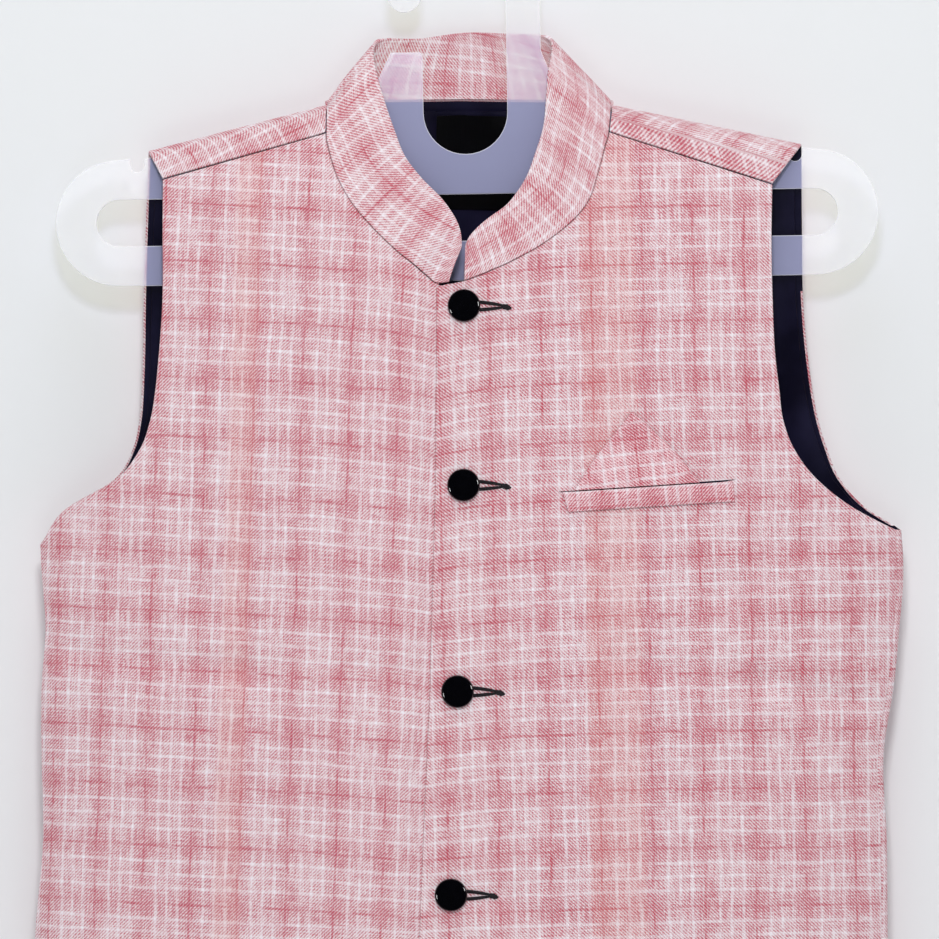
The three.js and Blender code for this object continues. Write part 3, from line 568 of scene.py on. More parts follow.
@dataclass(frozen=True)
class FrostedPolypropylene:
    """Polypropylene sheet with a frosted face: milky, half clear, bluish over dark cloth."""

    name: str = "frosted_polypropylene"

    def build(self) -> bpy.types.Material:
        """Makes the node material."""
        material, tree, surface = new_material(self.name)
        place = add_node(tree, "TexCoord").outputs["Object"]
        haze = add_node(tree, "TexNoise", {"Vector": place, "Scale": 900.0, "Detail": 2.0})
        cloud = add_node(tree, "TexNoise", {"Vector": place, "Scale": 14.0, "Detail": 2.0})
        colour = add_node(tree, "Mix", {
            0: cloud, 6: (0.27, 0.28, 0.44, 1.0), 7: (0.30, 0.31, 0.48, 1.0)}, data_type="RGBA")
        bump = add_node(tree, "Bump", {
            "Height": haze, "Strength": 0.12, "Distance": 0.0001})
        plug(tree, surface, {
            "Base Color": colour.outputs[2], "Normal": bump, "Roughness": 0.5, "IOR": 1.49})
        # the sheet scatters the blue back and passes the rest, once for both of its faces
        warm = add_node(tree, "BsdfTransparent", {0: (0.72, 0.71, 0.54, 1.0)})
        sheet = add_node(tree, "AddShader", {0: warm, 1: surface})
        shape = add_node(tree, "NewGeometry")
        # painted highlight: faces whose normal lies across the sheet, the cut edges, get a
        # near-white diffuse that stands for the light they gather, so they show as fine white lines
        facing = add_node(tree, "SeparateXYZ", {0: shape.outputs["True Normal"]})
        facing = add_node(tree, "Math", {0: facing.outputs[1]}, operation="ABSOLUTE")
        rim = add_node(tree, "MapRange", {0: facing, 1: 0.6, 2: 0.95, 3: 0.75, 4: 0.0})
        painted_edge_highlight = add_node(tree, "BsdfDiffuse", {"Color": linear("#f8f8fc")})
        both = add_node(tree, "MixShader", {0: rim, 1: sheet, 2: painted_edge_highlight})
        clear = add_node(tree, "BsdfTransparent")
        both = add_node(tree, "MixShader", {
            0: shape.outputs["Backfacing"], 1: both, 2: clear})
        plug(tree, tree.nodes["Material Output"], {0: both})
        return material


# ---------- mesh work ----------


class Workbench:
    """Operations that every piece goes through."""

    @staticmethod
    def pick(obj: bpy.types.Object) -> None:
        """Deselects everything, then selects and activates one object."""
        bpy.ops.object.select_all(action="DESELECT")
        obj.select_set(True)
        bpy.context.view_layer.objects.active = obj

    @staticmethod
    def finish(obj: bpy.types.Object, slot: str, nodes: tuple[str, ...],
               materials: tuple[bpy.types.Material, ...], angle: float = 62.0) -> None:
        """Smooths and dresses a finished piece and hides the CAD nodes that it stands for.

        Args:
            obj: The piece, in its place.
            slot: Material slot of the record; not used.
            nodes: CAD nodes that it stands for.
            materials: Its materials in slot order.
            angle: Edges sharper than this, in degrees, stay sharp.
        """
        Workbench.pick(obj)
        for material in materials:
            obj.data.materials.append(material)
        bpy.ops.object.shade_smooth_by_angle(angle=math.radians(angle))
        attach(obj, ROOT)
        if nodes:
            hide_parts(*nodes)
        LOG.info("%s: %d faces", obj.name, len(obj.data.polygons))

    @staticmethod
    def apply(obj: bpy.types.Object, kind: str, **settings: object) -> None:
        """Adds a modifier to a piece and applies it."""
        Workbench.pick(obj)
        modifier = obj.modifiers.new(kind.title(), kind)
        for name, value in settings.items():
            setattr(modifier, name, value)
        bpy.ops.object.modifier_apply(modifier=modifier.name)


@dataclass
class Shell:
    """A closed thin shell on a grid of points, with a rounded rim."""

    name: str
    grid: Array  # rows, columns, xyz of the outer face in mm
    weave: Array  # rows, columns, millimetres across and up the cloth
    thick: float
    hollow: tuple[float, float, float]  # a point on the inner side
    keep: Array | None = None  # which cells exist
    faced: Array | None = None  # cells whose inner face has the outer cloth as well
    inward: list[tuple[int, int, tuple]] = field(default_factory=list)  # rows, column, direction
    rounding: float = 0.45  # how far the turned edge draws in on both faces

    def normals(self) -> Array:
        """Directions into the hollow at every point."""
        along = np.gradient(self.grid, axis=1)
        up = np.gradient(self.grid, axis=0)
        out = np.cross(along, up)
        length = np.linalg.norm(out, axis=-1, keepdims=True)
        out = out / np.maximum(length, 1e-9)
        to_hollow = np.array(self.hollow) - self.grid
        if np.sum(out * to_hollow / np.linalg.norm(to_hollow, axis=-1, keepdims=True)) < 0:
            out = -out
        for count, column, direction in self.inward:
            out[:count, column] = np.array(direction, float) / np.linalg.norm(direction)
        return out

    def build(self) -> bpy.types.Object:
        """Writes the mesh.

        Returns:
            The piece, at the origin, with inner faces on material 1.
        """
        rows, columns = self.grid.shape[:2]
        inward = self.normals()
        outer = self.grid.reshape(-1, 3).copy()
        directions = inward.reshape(-1, 3)
        keep = np.ones((rows - 1, columns - 1), bool) if self.keep is None else self.keep
        number = np.arange(rows * columns).reshape(rows, columns)
        r, c = np.nonzero(keep)
        quads = np.stack(
            [number[r, c], number[r, c + 1], number[r + 1, c + 1], number[r + 1, c]], 1)
        face = np.cross(outer[quads[:, 2]] - outer[quads[:, 0]],
                        outer[quads[:, 3]] - outer[quads[:, 1]])
        if np.sum(face * directions[quads[:, 0]]) > 0:
            quads = quads[:, ::-1]
        edges = np.concatenate([quads[:, [k, (k + 1) % 4]] for k in range(4)])
        codes = edges[:, 0].astype(np.int64) * rows * columns + edges[:, 1]
        back = edges[:, 1].astype(np.int64) * rows * columns + edges[:, 0]
        at_rim = ~np.isin(codes, back)
        rim = edges[at_rim]
        lined = np.ones(len(quads), bool) if self.faced is None else ~self.faced[r, c]
        owner = np.tile(np.arange(len(quads)), 4)[at_rim]

        # the rim's points draw in on both faces, and a middle row keeps the true edge
        pull = np.zeros_like(outer)
        way = outer[rim[:, 1]] - outer[rim[:, 0]]
        side = np.cross(way, directions[rim[:, 0]])
        side /= np.maximum(np.linalg.norm(side, axis=1, keepdims=True), 1e-9)
        for k in (0, 1):
            np.add.at(pull, rim[:, k], side)
        size = np.linalg.norm(pull, axis=1, keepdims=True)
        pull = np.where(size > 1e-9, pull / np.maximum(size, 1e-9), 0.0) * self.rounding
        middle_sense = np.sign(np.sum(
            (outer[quads].mean(axis=1) - outer[quads[:, 0]]) * pull[quads[:, 0]]))
        pull *= middle_sense if middle_sense else 1.0
        first = outer + pull
        second = outer + directions * self.thick + pull
        ring = np.unique(rim)
        place = np.full(rows * columns, -1)
        place[ring] = np.arange(len(ring))
        middle = outer[ring] + directions[ring] * self.thick * 0.5

        used = np.unique(quads)
        index = np.full(rows * columns, -1)
        index[used] = np.arange(len(used))
        n = len(used)
        points = np.concatenate([first[used], second[used], middle]) * MM
        low, high = index[quads], index[quads][:, ::-1] + n
        a, b = index[rim[:, 0]], index[rim[:, 1]]
        ma, mb = place[rim[:, 0]] + 2 * n, place[rim[:, 1]] + 2 * n
        sides = np.concatenate([np.stack([b, a, ma, mb], 1), np.stack([mb, ma, a + n, b + n], 1)])
        faces = np.concatenate([low, high, sides])
        mesh = bpy.data.meshes.new(self.name)
        mesh.from_pydata(points.tolist(), [], faces.tolist())
        flat = self.weave.reshape(-1, 2)
        values = np.concatenate([flat[used], flat[used], flat[ring]])
        layer = mesh.uv_layers.new(name=WEAVE)
        loops = np.empty(len(mesh.loops), np.int32)
        mesh.loops.foreach_get("vertex_index", loops)
        layer.data.foreach_set("uv", values[loops].astype(np.float32).ravel())
        inner = np.zeros(len(faces), np.int32)
        inner[len(low):2 * len(low)] = lined
        inner[2 * len(low) + len(rim):] = lined[owner]
        mesh.polygons.foreach_set("material_index", inner)
        mesh.update()
        obj = bpy.data.objects.new(self.name, mesh)
        bpy.context.scene.collection.objects.link(obj)
        return obj


def arc_across(grid: Array, start: int) -> Array:
    """Millimetres along each row of a grid, equal to x at one column."""
    step = np.hypot(np.diff(grid[..., 0], axis=1), np.diff(grid[..., 1], axis=1))
    step *= np.sign(np.diff(grid[..., 0], axis=1) + 1e-9)
    run = np.concatenate([np.zeros((grid.shape[0], 1)), np.cumsum(step, axis=1)], axis=1)
    return run - run[:, start:start + 1] + grid[:, start:start + 1, 0]


def spread(start: float, end: float, step: float) -> Array:
    """Even places from start to end, about a step apart."""
    return np.linspace(start, end, max(2, int(round(abs(end - start) / step)) + 1))


# ---------- pieces ----------


@dataclass(frozen=True)
class CheckLay:
    """How the check lies on one front."""

    lean: float  # millimetres across for each one down
    stretch: float
    phase: float
    level: float  # height of a red line at the closure


CHECK_LAY = {
    Side.RIGHT: CheckLay(0.033, 30 / 28.9, 122.7, -241.6),
    Side.LEFT: CheckLay(-0.019, 30 / 30.8, -108.4, -241.2),
}
LEAN_FROM = -211  # height at which the phase holds
# height, and how far the buttons pull the check down there; the pull dies out over its reach
CHECK_PULL = np.array([(-620, 1.2), (-430, 4.2), (-330, 5.4), (-240, 7.4)])
PULL_REACH = 36
RIGHT_SLOPE = 0.043
LEFT_SLOPE, LEFT_REACH = 0.05, 130  # this slope dies out


@dataclass
class FrontPanel:
    """One front: from the hem to the neck, the armhole and the forward shoulder seam."""

    side: Side
    cloth: bpy.types.Material
    lining: bpy.types.Material
    step: float = 3.0  # between rows
    columns: int = 84
    under_columns: int = 14  # of the part that lies under the other front
    upper_rows: int = 53  # from the armhole's foot to the corner of the neck
    neck_step: float = 2.6  # between rows that end at the neck
    neck_place: float = 0.65  # place along the collar where the right front's neck begins
    arm_level: float = -236.0  # height on the armhole of the row that ends at the neck's corner
    under_top: float = -209.0  # the under part droops above this height
    under_droop: float = 2.5
    neck_facing: int = 12  # columns of the neck with cloth turned in
    flat: tuple[float, float] = (0.285, 0.675)
    flat_share: float = 0.86  # of that rectangle, left after the neck and armhole are cut

    def row_ends(self) -> tuple[Array, Array, Array]:
        """Inner and outer ends of every row as x, z, and whether it is below the neck."""
        right = self.side is Side.RIGHT
        hole = ARMHOLE[("front", self.side)]
        start, base = hole[0, 0], NECK_BASE[self.side]
        body = spread(HEM_Z, start, self.step)
        t = np.linspace(0, 1, self.upper_rows + 1)[1:]
        inner_z = np.concatenate([body, mix(start, base, t ** 0.85)])
        outer_z = np.concatenate([body, mix(start, self.arm_level, t)])
        inner_x = column_at(CLOSURE, 1, inner_z)
        if right:  # the tuck narrows to the corner below the collar's end
            inner_x = inner_x - mix(TUCK_FROM, -CORNER, smooth((inner_z + 250) / 42))
        side_x = (smooth_column(BODY, 1, body) if right
                  else smooth_column(BODY, 2, body) - SEAM_INSET - SEAM_GAP)
        outer_x = np.concatenate([side_x, smooth_column(hole, 1, outer_z[len(body):])])
        ends = (self.neck_place, RIGHT_FOLD - 1) if right else (COLLAR_END, LEFT_FOLD + 1)
        path = neck_edge(np.linspace(*ends, 240))[:, [0, 2]]
        path = np.concatenate([[[inner_x[-1], inner_z[-1]]], path])
        run = np.concatenate([[0], np.cumsum(np.linalg.norm(np.diff(path, axis=0), axis=1))])
        at = spread(0, run[-1], self.neck_step)[1:]
        neck = np.stack([np.interp(at, run, path[:, k]) for k in (0, 1)], axis=1)
        rise = np.linspace(0, 1, len(at) + 1)[1:]
        top_z = mix(self.arm_level, hole[-1, 0] - SEAM_GAP, rise)
        inner = np.concatenate([np.stack([inner_x, inner_z], 1), neck])
        outer = np.concatenate([
            np.stack([outer_x, outer_z], 1), np.stack([smooth_column(hole, 1, top_z), top_z], 1)])
        below = np.arange(len(inner)) < len(inner_x)
        return inner, outer, below

    def weave(self, grid: Array, start: int) -> Array:
        """Check coordinates: the lines lean with the panel and dip towards the buttons."""
        right, lay = self.side is Side.RIGHT, CHECK_LAY[self.side]
        x, z = arc_across(grid, start), grid[..., 2]
        edge = column_at(CLOSURE, 1, z)
        away = np.maximum(0.0, (edge - grid[..., 0]) if right else (grid[..., 0] - edge))
        rise = column_at(CHECK_PULL, 1, z) * (1 - np.exp(-away / PULL_REACH))
        rise = rise + (RIGHT_SLOPE * away if right
                       else LEFT_SLOPE * LEFT_REACH * (1 - np.exp(-away / LEFT_REACH)))
        across = (x + lay.lean * (LEAN_FROM - z) + lay.phase) * lay.stretch
        return np.stack([across, z - rise - lay.level], axis=-1)

    def build(self) -> bpy.types.Object:
        right = self.side is Side.RIGHT
        surface = under_front_y if right else front_y
        inner, outer, below = self.row_ends()
        t = np.linspace(0, 1, self.columns)
        u = 1 - (1 - t) ** 1.25
        x = mix(inner[:, :1], outer[:, :1], u[None])
        z = mix(inner[:, 1:], outer[:, 1:], u[None])
        first = 0
        if right:
            row_z = inner[:, 1]
            button = column_at(CLOSURE, 2, row_z)
            first = self.under_columns
            s = np.linspace(0, 1, first + 1)[:-1]
            under = mix((button + OVERLAP)[:, None], inner[:, :1], s[None])
            droop = np.where(row_z > self.under_top, self.under_droop, 0.0)[:, None] * (1 - s[None])
            x = np.concatenate([under, x], axis=1)
            z = np.concatenate([row_z[:, None] - droop, z], axis=1)
        y = surface(x, z)
        body_rows = np.count_nonzero(inner[:, 1] <= ARMHOLE[("front", self.side)][0, 0] + 0.01)
        if right:
            y[:body_rows, -1] -= SEAM_GAP / 2
        inward = [(body_rows, -1, (1, 0, 0) if right else (-1, 1, 0))]
        grid = np.stack([x, y, z], axis=-1)
        keep = np.ones((grid.shape[0] - 1, grid.shape[1] - 1), bool)
        if right:
            keep[:, :first] = (below[:-1] & below[1:])[:, None]
        faced = np.abs(x - column_at(CLOSURE, 1, z)) < FACING
        at_neck = np.s_[:, :self.neck_facing]
        faced[at_neck] |= z[at_neck] > NECK_BASE[self.side]
        name = f"front_{self.side.value}_cloth"
        obj = Shell(name, grid, self.weave(grid, first), CLOTH, (0, 0, -420), keep,
                    faced[:-1, :-1], inward).build()
        Workbench.finish(obj, "jacket_cloth", (f"front_{self.side.value}",),
                         (self.cloth, self.lining))
        return obj


@dataclass
class BackPanel:
    """The back, which rolls over the shoulders to the forward seams."""

    cloth: bpy.types.Material
    lining: bpy.types.Material
    step: float = 4.0  # between rows
    arm_foot: float = -366.0  # last row below the armholes
    side_columns: int = 34  # from an armhole to the neck
    neck_columns: int = 50
    rolled: tuple[float, ...] = (0.12, 0.4, 1.0)  # columns over the left side, 1 at the seam
    strip_rows: int = 15
    flat: tuple[float, float] = (0.545, 0.745)
    flat_share: float = 0.84  # of that rectangle, left after the neck and armholes are cut

    def side_edges(self) -> tuple[Array, Array, Array, Array, int]:
        """Side and arm edges of every row.

        Returns:
            The right edge's x and z, the left edge's x and z, and how many rows are below
            the armholes.
        """
        right_hole, left_hole = ARMHOLE[("back", Side.RIGHT)], ARMHOLE[("back", Side.LEFT)]
        body = spread(HEM_Z, self.arm_foot, self.step)
        near_fold = np.array([-160, -155, -150, -146, -142, -139, -136.5, -134.5, -133, -131.7,
                              -130.7, -129.9, -129.2, -128.6, -128.1, -127.7, -127.4, -127.2])
        upper = np.concatenate([spread(-364.0, -163.0, self.step), near_fold])
        right_z = np.concatenate([body, upper])
        left_z = np.concatenate([body, np.interp(
            upper, [-364, -343, -176, -158, -127.2], [-355, -343, -176, -153.8, -123])])
        low = np.arange(len(right_z)) < len(body)
        right_x = np.where(
            low, smooth_column(BODY, 1, right_z), smooth_column(right_hole, 1, right_z))
        left_x = np.where(low, smooth_column(BODY, 2, left_z), smooth_column(left_hole, 1, left_z))
        return right_x, right_z, left_x, left_z, len(body)

    def panel(self, right_x: Array, right_z: Array, left_x: Array, left_z: Array) -> Array:
        """Points of the back up to the shoulder folds and the collar's seam."""
        folds = (SHOULDER[Side.RIGHT], SHOULDER[Side.LEFT])
        risen = [z + (f["neck"][1] - f["arm"][1]) * smooth((z + 365) / 235)
                 for z, f in zip((right_z, left_z), folds)]
        half = self.across_side()
        edge = neck_edge(np.linspace(RIGHT_FOLD, LEFT_FOLD, self.neck_columns)[1:-1])
        share = np.linspace(0, 1, self.neck_columns)[1:-1]
        level = mix(risen[0][:, None], risen[1][:, None], share[None])
        rise = smooth((level + 365) / 266)
        flat_x = mix(folds[0]["neck"][0], folds[1]["neck"][0], share)[None]
        x = np.concatenate([
            mix(right_x[:, None], folds[0]["neck"][0], half[None]),
            mix(flat_x, edge[None, :, 0], rise),
            mix(left_x[:, None], folds[1]["neck"][0], half[None, ::-1])], axis=1)
        z = np.concatenate([
            mix(right_z[:, None], risen[0][:, None], half[None]),
            level + (edge[None, :, 2] + 99.2) * rise,
            mix(left_z[:, None], risen[1][:, None], half[None, ::-1])], axis=1)
        y = back_y(x, z)
        y[-1, :self.side_columns] = 0.0
        y[-1, -self.side_columns:] = 0.0
        grid = np.stack([x, y, z], axis=-1)
        # columns that roll round the left side fold to the seam on the front
        roll = []
        for s in self.rolled:
            rx = left_x - SEAM_INSET * s
            roll.append(np.stack([rx, front_y(rx, left_z), left_z], axis=-1)[:, None])
        return np.concatenate([grid, *roll], axis=1)

    def across_side(self) -> Array:
        """Shares of the way from an armhole to the neck, closer together at the armhole."""
        return np.linspace(0, 1, self.side_columns) ** 1.3

    def strips(self, fold_row: Array) -> Array:
        """Rows of the two strips that go on from the folds to the forward seams."""
        half, rows = self.across_side(), []
        sides = ((Side.RIGHT, -1, half, slice(0, len(half))),
                 (Side.LEFT, 1, half[::-1], slice(-len(half) - 3, -3)))
        for t in np.linspace(0, 1, self.strip_rows + 1)[1:] ** 1.6:
            row = fold_row.copy()
            for name, sign, u, part in sides:
                fold = SHOULDER[name]
                outer = [mix(fold["arm"][i], fold["arm_seam"][i], t) for i in (0, 1)]
                inner = [mix(fold["neck"][i], fold["neck_seam"][i], t) for i in (0, 1)]
                x = mix(outer[0], inner[0] + sign * NECK_GAP, u)
                z = mix(outer[1], inner[1], u)
                row[part] = np.stack([x, front_y(x, z), z], axis=-1)
            rows.append(row[None])
        return np.concatenate(rows)

    def turnings(self, grid: Array, left_z: Array, upper: slice) -> Array:
        """Cells with cloth turned in, which show beside the lining."""
        faced = np.zeros((grid.shape[0] - 1, grid.shape[1] - 1), bool)
        for fold in SHOULDER.values():
            neck_x, neck_z = fold["neck"]
            reach = np.hypot(grid[:-1, :-1, 0] - neck_x, grid[:-1, :-1, 2] - neck_z)
            faced |= reach < NECK_TURNING
        faced[upper, 0] = True
        faced[upper, -4] = left_z[upper] < LEFT_TURNING_TOP
        return faced

    def build(self) -> bpy.types.Object:
        *edges, low_rows = self.side_edges()
        grid = self.panel(*edges)
        rows, side = len(grid), self.side_columns
        grid = np.concatenate([grid, self.strips(grid[-1])], axis=0)
        keep = np.ones((grid.shape[0] - 1, grid.shape[1] - 1), bool)
        keep[rows - 1:, side - 1:-side - 2] = False
        keep[low_rows:, -3:] = False
        body_rows = low_rows + 1
        grid[:body_rows, 0, 1] += SEAM_GAP / 2
        for k in (1, 2, 3):  # above the side seam the rolled columns only carry the face on
            grid[body_rows:, k - 4] = grid[body_rows:, -4] + k * (
                grid[body_rows:, -4] - grid[body_rows:, -5])
        faced = self.turnings(grid, edges[3], slice(body_rows, rows))
        inward = [(body_rows, 0, (1, 0, 0)), (body_rows, -4, (-1, 0, 0)),
                  (body_rows, -1, (-1, 1, 0))]
        across = arc_across(grid, side + self.neck_columns // 2 - 1)
        up = grid[..., 2].copy()
        up[rows:] = 2 * shoulder_line(grid[rows:, :, 0]) - up[rows:]
        weave = np.stack([across, up + 231], axis=-1)
        obj = Shell("back_cloth", grid, weave, CLOTH, (0, 0, -420), keep, faced, inward).build()
        Workbench.finish(obj, "jacket_cloth", ("back",), (self.cloth, self.lining))
        return obj


@dataclass
class Collar:
    """The stand collar, from its right end round the back to its left end."""

    cloth: bpy.types.Material
    rows: int = 15  # from its seam to its top
    bulge: float = 1.6
    ripple: float = 0.25
    check_slope: float = 0.12  # its check is cut off the straight by this much
    flat: tuple[float, float] = (0.455, 0.05)
    flat_share: float = 0.8  # of that rectangle, left after its ends and top are cut round

    def build(self) -> bpy.types.Object:
        stops = (0, RIGHT_FOLD - 1, RIGHT_FOLD, LEFT_FOLD, LEFT_FOLD + 1, COLLAR_END)
        counts = (100, 14, 90, 14, 100)
        places = np.concatenate([[0.0], *(
            np.linspace(*ends)[1:] for ends in zip(stops[:-1], stops[1:], counts))])
        seam = collar_seam(places)
        row = rows_at(COLLAR, places)
        top = np.stack([row[:, 2], row[:, 4], row[:, 3]], axis=-1)
        t = np.linspace(0, 1, self.rows)[None, :, None]
        grid = mix(seam[:, None], top[:, None], t)
        out = grid - np.stack([np.full(grid.shape[:2], 2.0), np.zeros(grid.shape[:2]),
                               grid[..., 2]], axis=-1)
        out /= np.linalg.norm(out, axis=-1, keepdims=True)
        ripple = self.ripple * np.sin(places * 3.1)[:, None, None] * np.sin(math.pi * t)
        grid = grid + out * (self.bulge * np.sin(math.pi * t) + ripple)
        run = np.concatenate([[0], np.cumsum(np.linalg.norm(
            np.diff(grid[:, self.rows // 2], axis=0), axis=1))])
        width = np.linalg.norm(grid[:, -1] - grid[:, 0], axis=-1)
        weave = np.stack([np.broadcast_to(run[:, None], grid.shape[:2]),
                          width[:, None] * t[0, :, 0][None]], axis=-1)
        weave[..., 1] += self.check_slope * weave[..., 0]
        obj = Shell("collar_cloth", grid, weave, CLOTH, (2, 0, -150)).build()
        Workbench.finish(obj, "jacket_cloth", ("collar",), (self.cloth, self.cloth))
        return obj


@dataclass
class BackLining:
    """Lining of the back and the label at the neck, both seen through the openings."""

    satin: bpy.types.Material
    label: bpy.types.Material
    label_box: tuple[float, float, float, float] = (-16.0, 30.0, -104.0, 58.0)
    side_inset: float = 14.0  # from the side folds
    arm_inset: float = 4.0  # from the arm edges
    room: float = 3.5  # between the cloth and the lining
    fold: float = 0.9
    label_room: float = 5.2
    label_curl: float = 0.5
    flat: tuple[float, float] = (0.52, 0.69)
    flat_share: float = 0.86  # of that rectangle, left after the armholes are cut
    label_flat: tuple[float, float] = (0.047, 0.059)

    @staticmethod
    def inside(x: Array, z: Array, depth: float) -> Array:
        """Points of the back's form, moved into the hollow."""
        step = 0.5
        slope_x = (back_y(x + step, z) - back_y(x - step, z)) / (2 * step)
        slope_z = (back_y(x, z + step) - back_y(x, z - step)) / (2 * step)
        way = np.stack([slope_x, -np.ones_like(slope_x), slope_z], axis=-1)
        way /= np.linalg.norm(way, axis=-1, keepdims=True)
        return np.stack([x, back_y(x, z), z], axis=-1) + way * np.asarray(depth)[..., None]

    def build_lining(self) -> bpy.types.Object:
        """Makes the lining with the soft upright folds that ease gives it."""
        z = spread(-790, -140, 5.0)
        low = z < -362
        edges = [np.where(low, column_at(BODY, column, z) + sign * self.side_inset,
                          column_at(ARMHOLE[("back", side)], 1, z) + sign * self.arm_inset)
                 for side, column, sign in ((Side.RIGHT, 1, 1), (Side.LEFT, 2, -1))]
        x = mix(edges[0][:, None], edges[1][:, None], np.linspace(0, 1, 120)[None])
        rise = smooth((z + 250) / 110)[:, None] * (shoulder_line(x) - 14 + 140)
        level = np.minimum(z[:, None] + rise, -101.0)
        fold = self.fold * np.sin(x / 6.5 + 1.5 * np.sin(level / 70)) * np.sin(level / 90 + x / 50)
        grid = self.inside(x, level, CLOTH + self.room + fold)
        obj = Shell("lining_satin_back", grid, grid[..., [0, 2]], LINING, (0, 0, -420),
                    rounding=0.1).build()
        Workbench.finish(obj, "lining_satin", ("lining_back",), (self.satin, self.satin))
        return obj

    def build_label(self) -> bpy.types.Object:
        """Makes the bare woven label, sewn flat under the collar seam."""
        x0, x1, top, drop = self.label_box
        x, z = np.meshgrid(np.linspace(x0, x1, 30), np.linspace(top - drop, top, 34))
        curl = self.label_curl * ((x - (x0 + x1) / 2) / ((x1 - x0) / 2)) ** 2
        grid = self.inside(x, z, CLOTH + self.label_room + curl)
        obj = Shell("neck_label_satin", grid, grid[..., [0, 2]], 0.6, (0, -200, -115),
                    rounding=0.1).build()
        Workbench.finish(obj, "label_satin", ("neck_label",), (self.label, self.label))
        return obj


# the pocket square from its foot to its point, as x1, z1, x2, z2
SQUARE = np.array([
    (66.9, -331.6, 142.5, -326.7), (78.9, -312.6, 127.5, -308.4), (101.0, -284.6, 102.6, -284.6)])


@dataclass
class ChestPocket:
    """Welt of the chest pocket, and the square of cloth that rises behind it."""

    cloth: bpy.types.Material
    welt_cloth: bpy.types.Material
    satin: bpy.types.Material
    welt: tuple[float, ...] = (59.7, -332.4, 63.3, -344.4, 161.7, -325.8, 163.5, -338.1)
    swell: float = 0.9  # how full the folded welt is
    slit: tuple[float, ...] = (57.5, -333.0, 164.0, -325.6)  # ends of the opening
    shade_strip_rise: float = 0.8  # the dark strip of painted shade shows above the opening's line by this much
    slit_drop: float = 10.5  # and goes down behind the welt by this much
    slit_inset: float = 5.0  # where it hides it is shorter at both ends

    @staticmethod
    def lay(name: str, cloth: bpy.types.Material, x: Array, z: Array, lift: Array, thick: float,
            turn: float, node: str = "") -> bpy.types.Object:
        """Makes a flat piece that lies on the wearer's left front.

        Args:
            name: Name of the piece.
            cloth: Its finish.
            x: Places across.
            z: Heights.
            lift: How far it is padded off the panel, at every point.
            thick: Its thickness.
            turn: Angle of its check, in degrees.
            node: CAD node that it stands for, if there is one.

        Returns:
            The piece.
        """
        grid = np.stack([x, front_y(x, z) - LAY_GAP - thick - lift, z], axis=-1)
        c, s = math.cos(math.radians(turn)), math.sin(math.radians(turn))
        weave = np.stack([x * c + z * s, z * c - x * s], axis=-1)
        obj = Shell(name, grid, weave, thick, (0, 0, -420), rounding=0.3).build()
        Workbench.finish(obj, "jacket_cloth" if node else "lining_satin", (node,) if node else (),
                         (cloth, cloth))
        return obj

    def build(self) -> list[bpy.types.Object]:
        """Makes the welt, the square and a dark strip of lining satin between them, a sheet that
        paints the shade in the pocket's opening.
        """
        lx, lz, bx, bz, rx, rz, qx, qz = self.welt
        u, v = np.meshgrid(np.linspace(0, 1, 60), np.linspace(0, 1, 12))
        x = mix(mix(bx, qx, u), mix(lx, rx, u), v)
        z = mix(mix(bz, qz, u), mix(lz, rz, u), v)
        swell = self.swell * np.sin(math.pi * v.clip(0, 1)) ** 0.5 * np.minimum(1, 8 * u * (1 - u))
        welt = self.lay("welt_cloth", self.welt_cloth, x, z, swell, 1.6, 4.0, "welt")
        # painted shade: a dark strip of lining satin put in the pocket's opening, where there is
        # only shade
        inset = self.slit_inset * np.minimum(1.0, (1 - v) * 12)
        x = mix(self.slit[0] + inset, self.slit[2] - inset, u)
        z = mix(self.slit[1], self.slit[3], u) + self.shade_strip_rise - (1 - v) * self.slit_drop
        slit = self.lay("pocket_opening_painted_shade", self.satin, x, z, np.full_like(x, -LAY_GAP),
                        0.3, 0.0)
        row = rows_at(SQUARE, np.linspace(0, 2, 36))
        u = np.linspace(0, 1, 40)[None]
        x = mix(row[:, :1], row[:, 2:3], u)
        z = mix(row[:, 1:2], row[:, 3:4], u)
        ease = 0.7 + 0.5 * np.sin(math.pi * u) * np.linspace(1, 0, 36)[:, None]
        square = self.lay("pocket_square_cloth", self.cloth, x, z, ease, 1.2, 8.0,
                          "pocket_square")
        return [welt, slit, square]


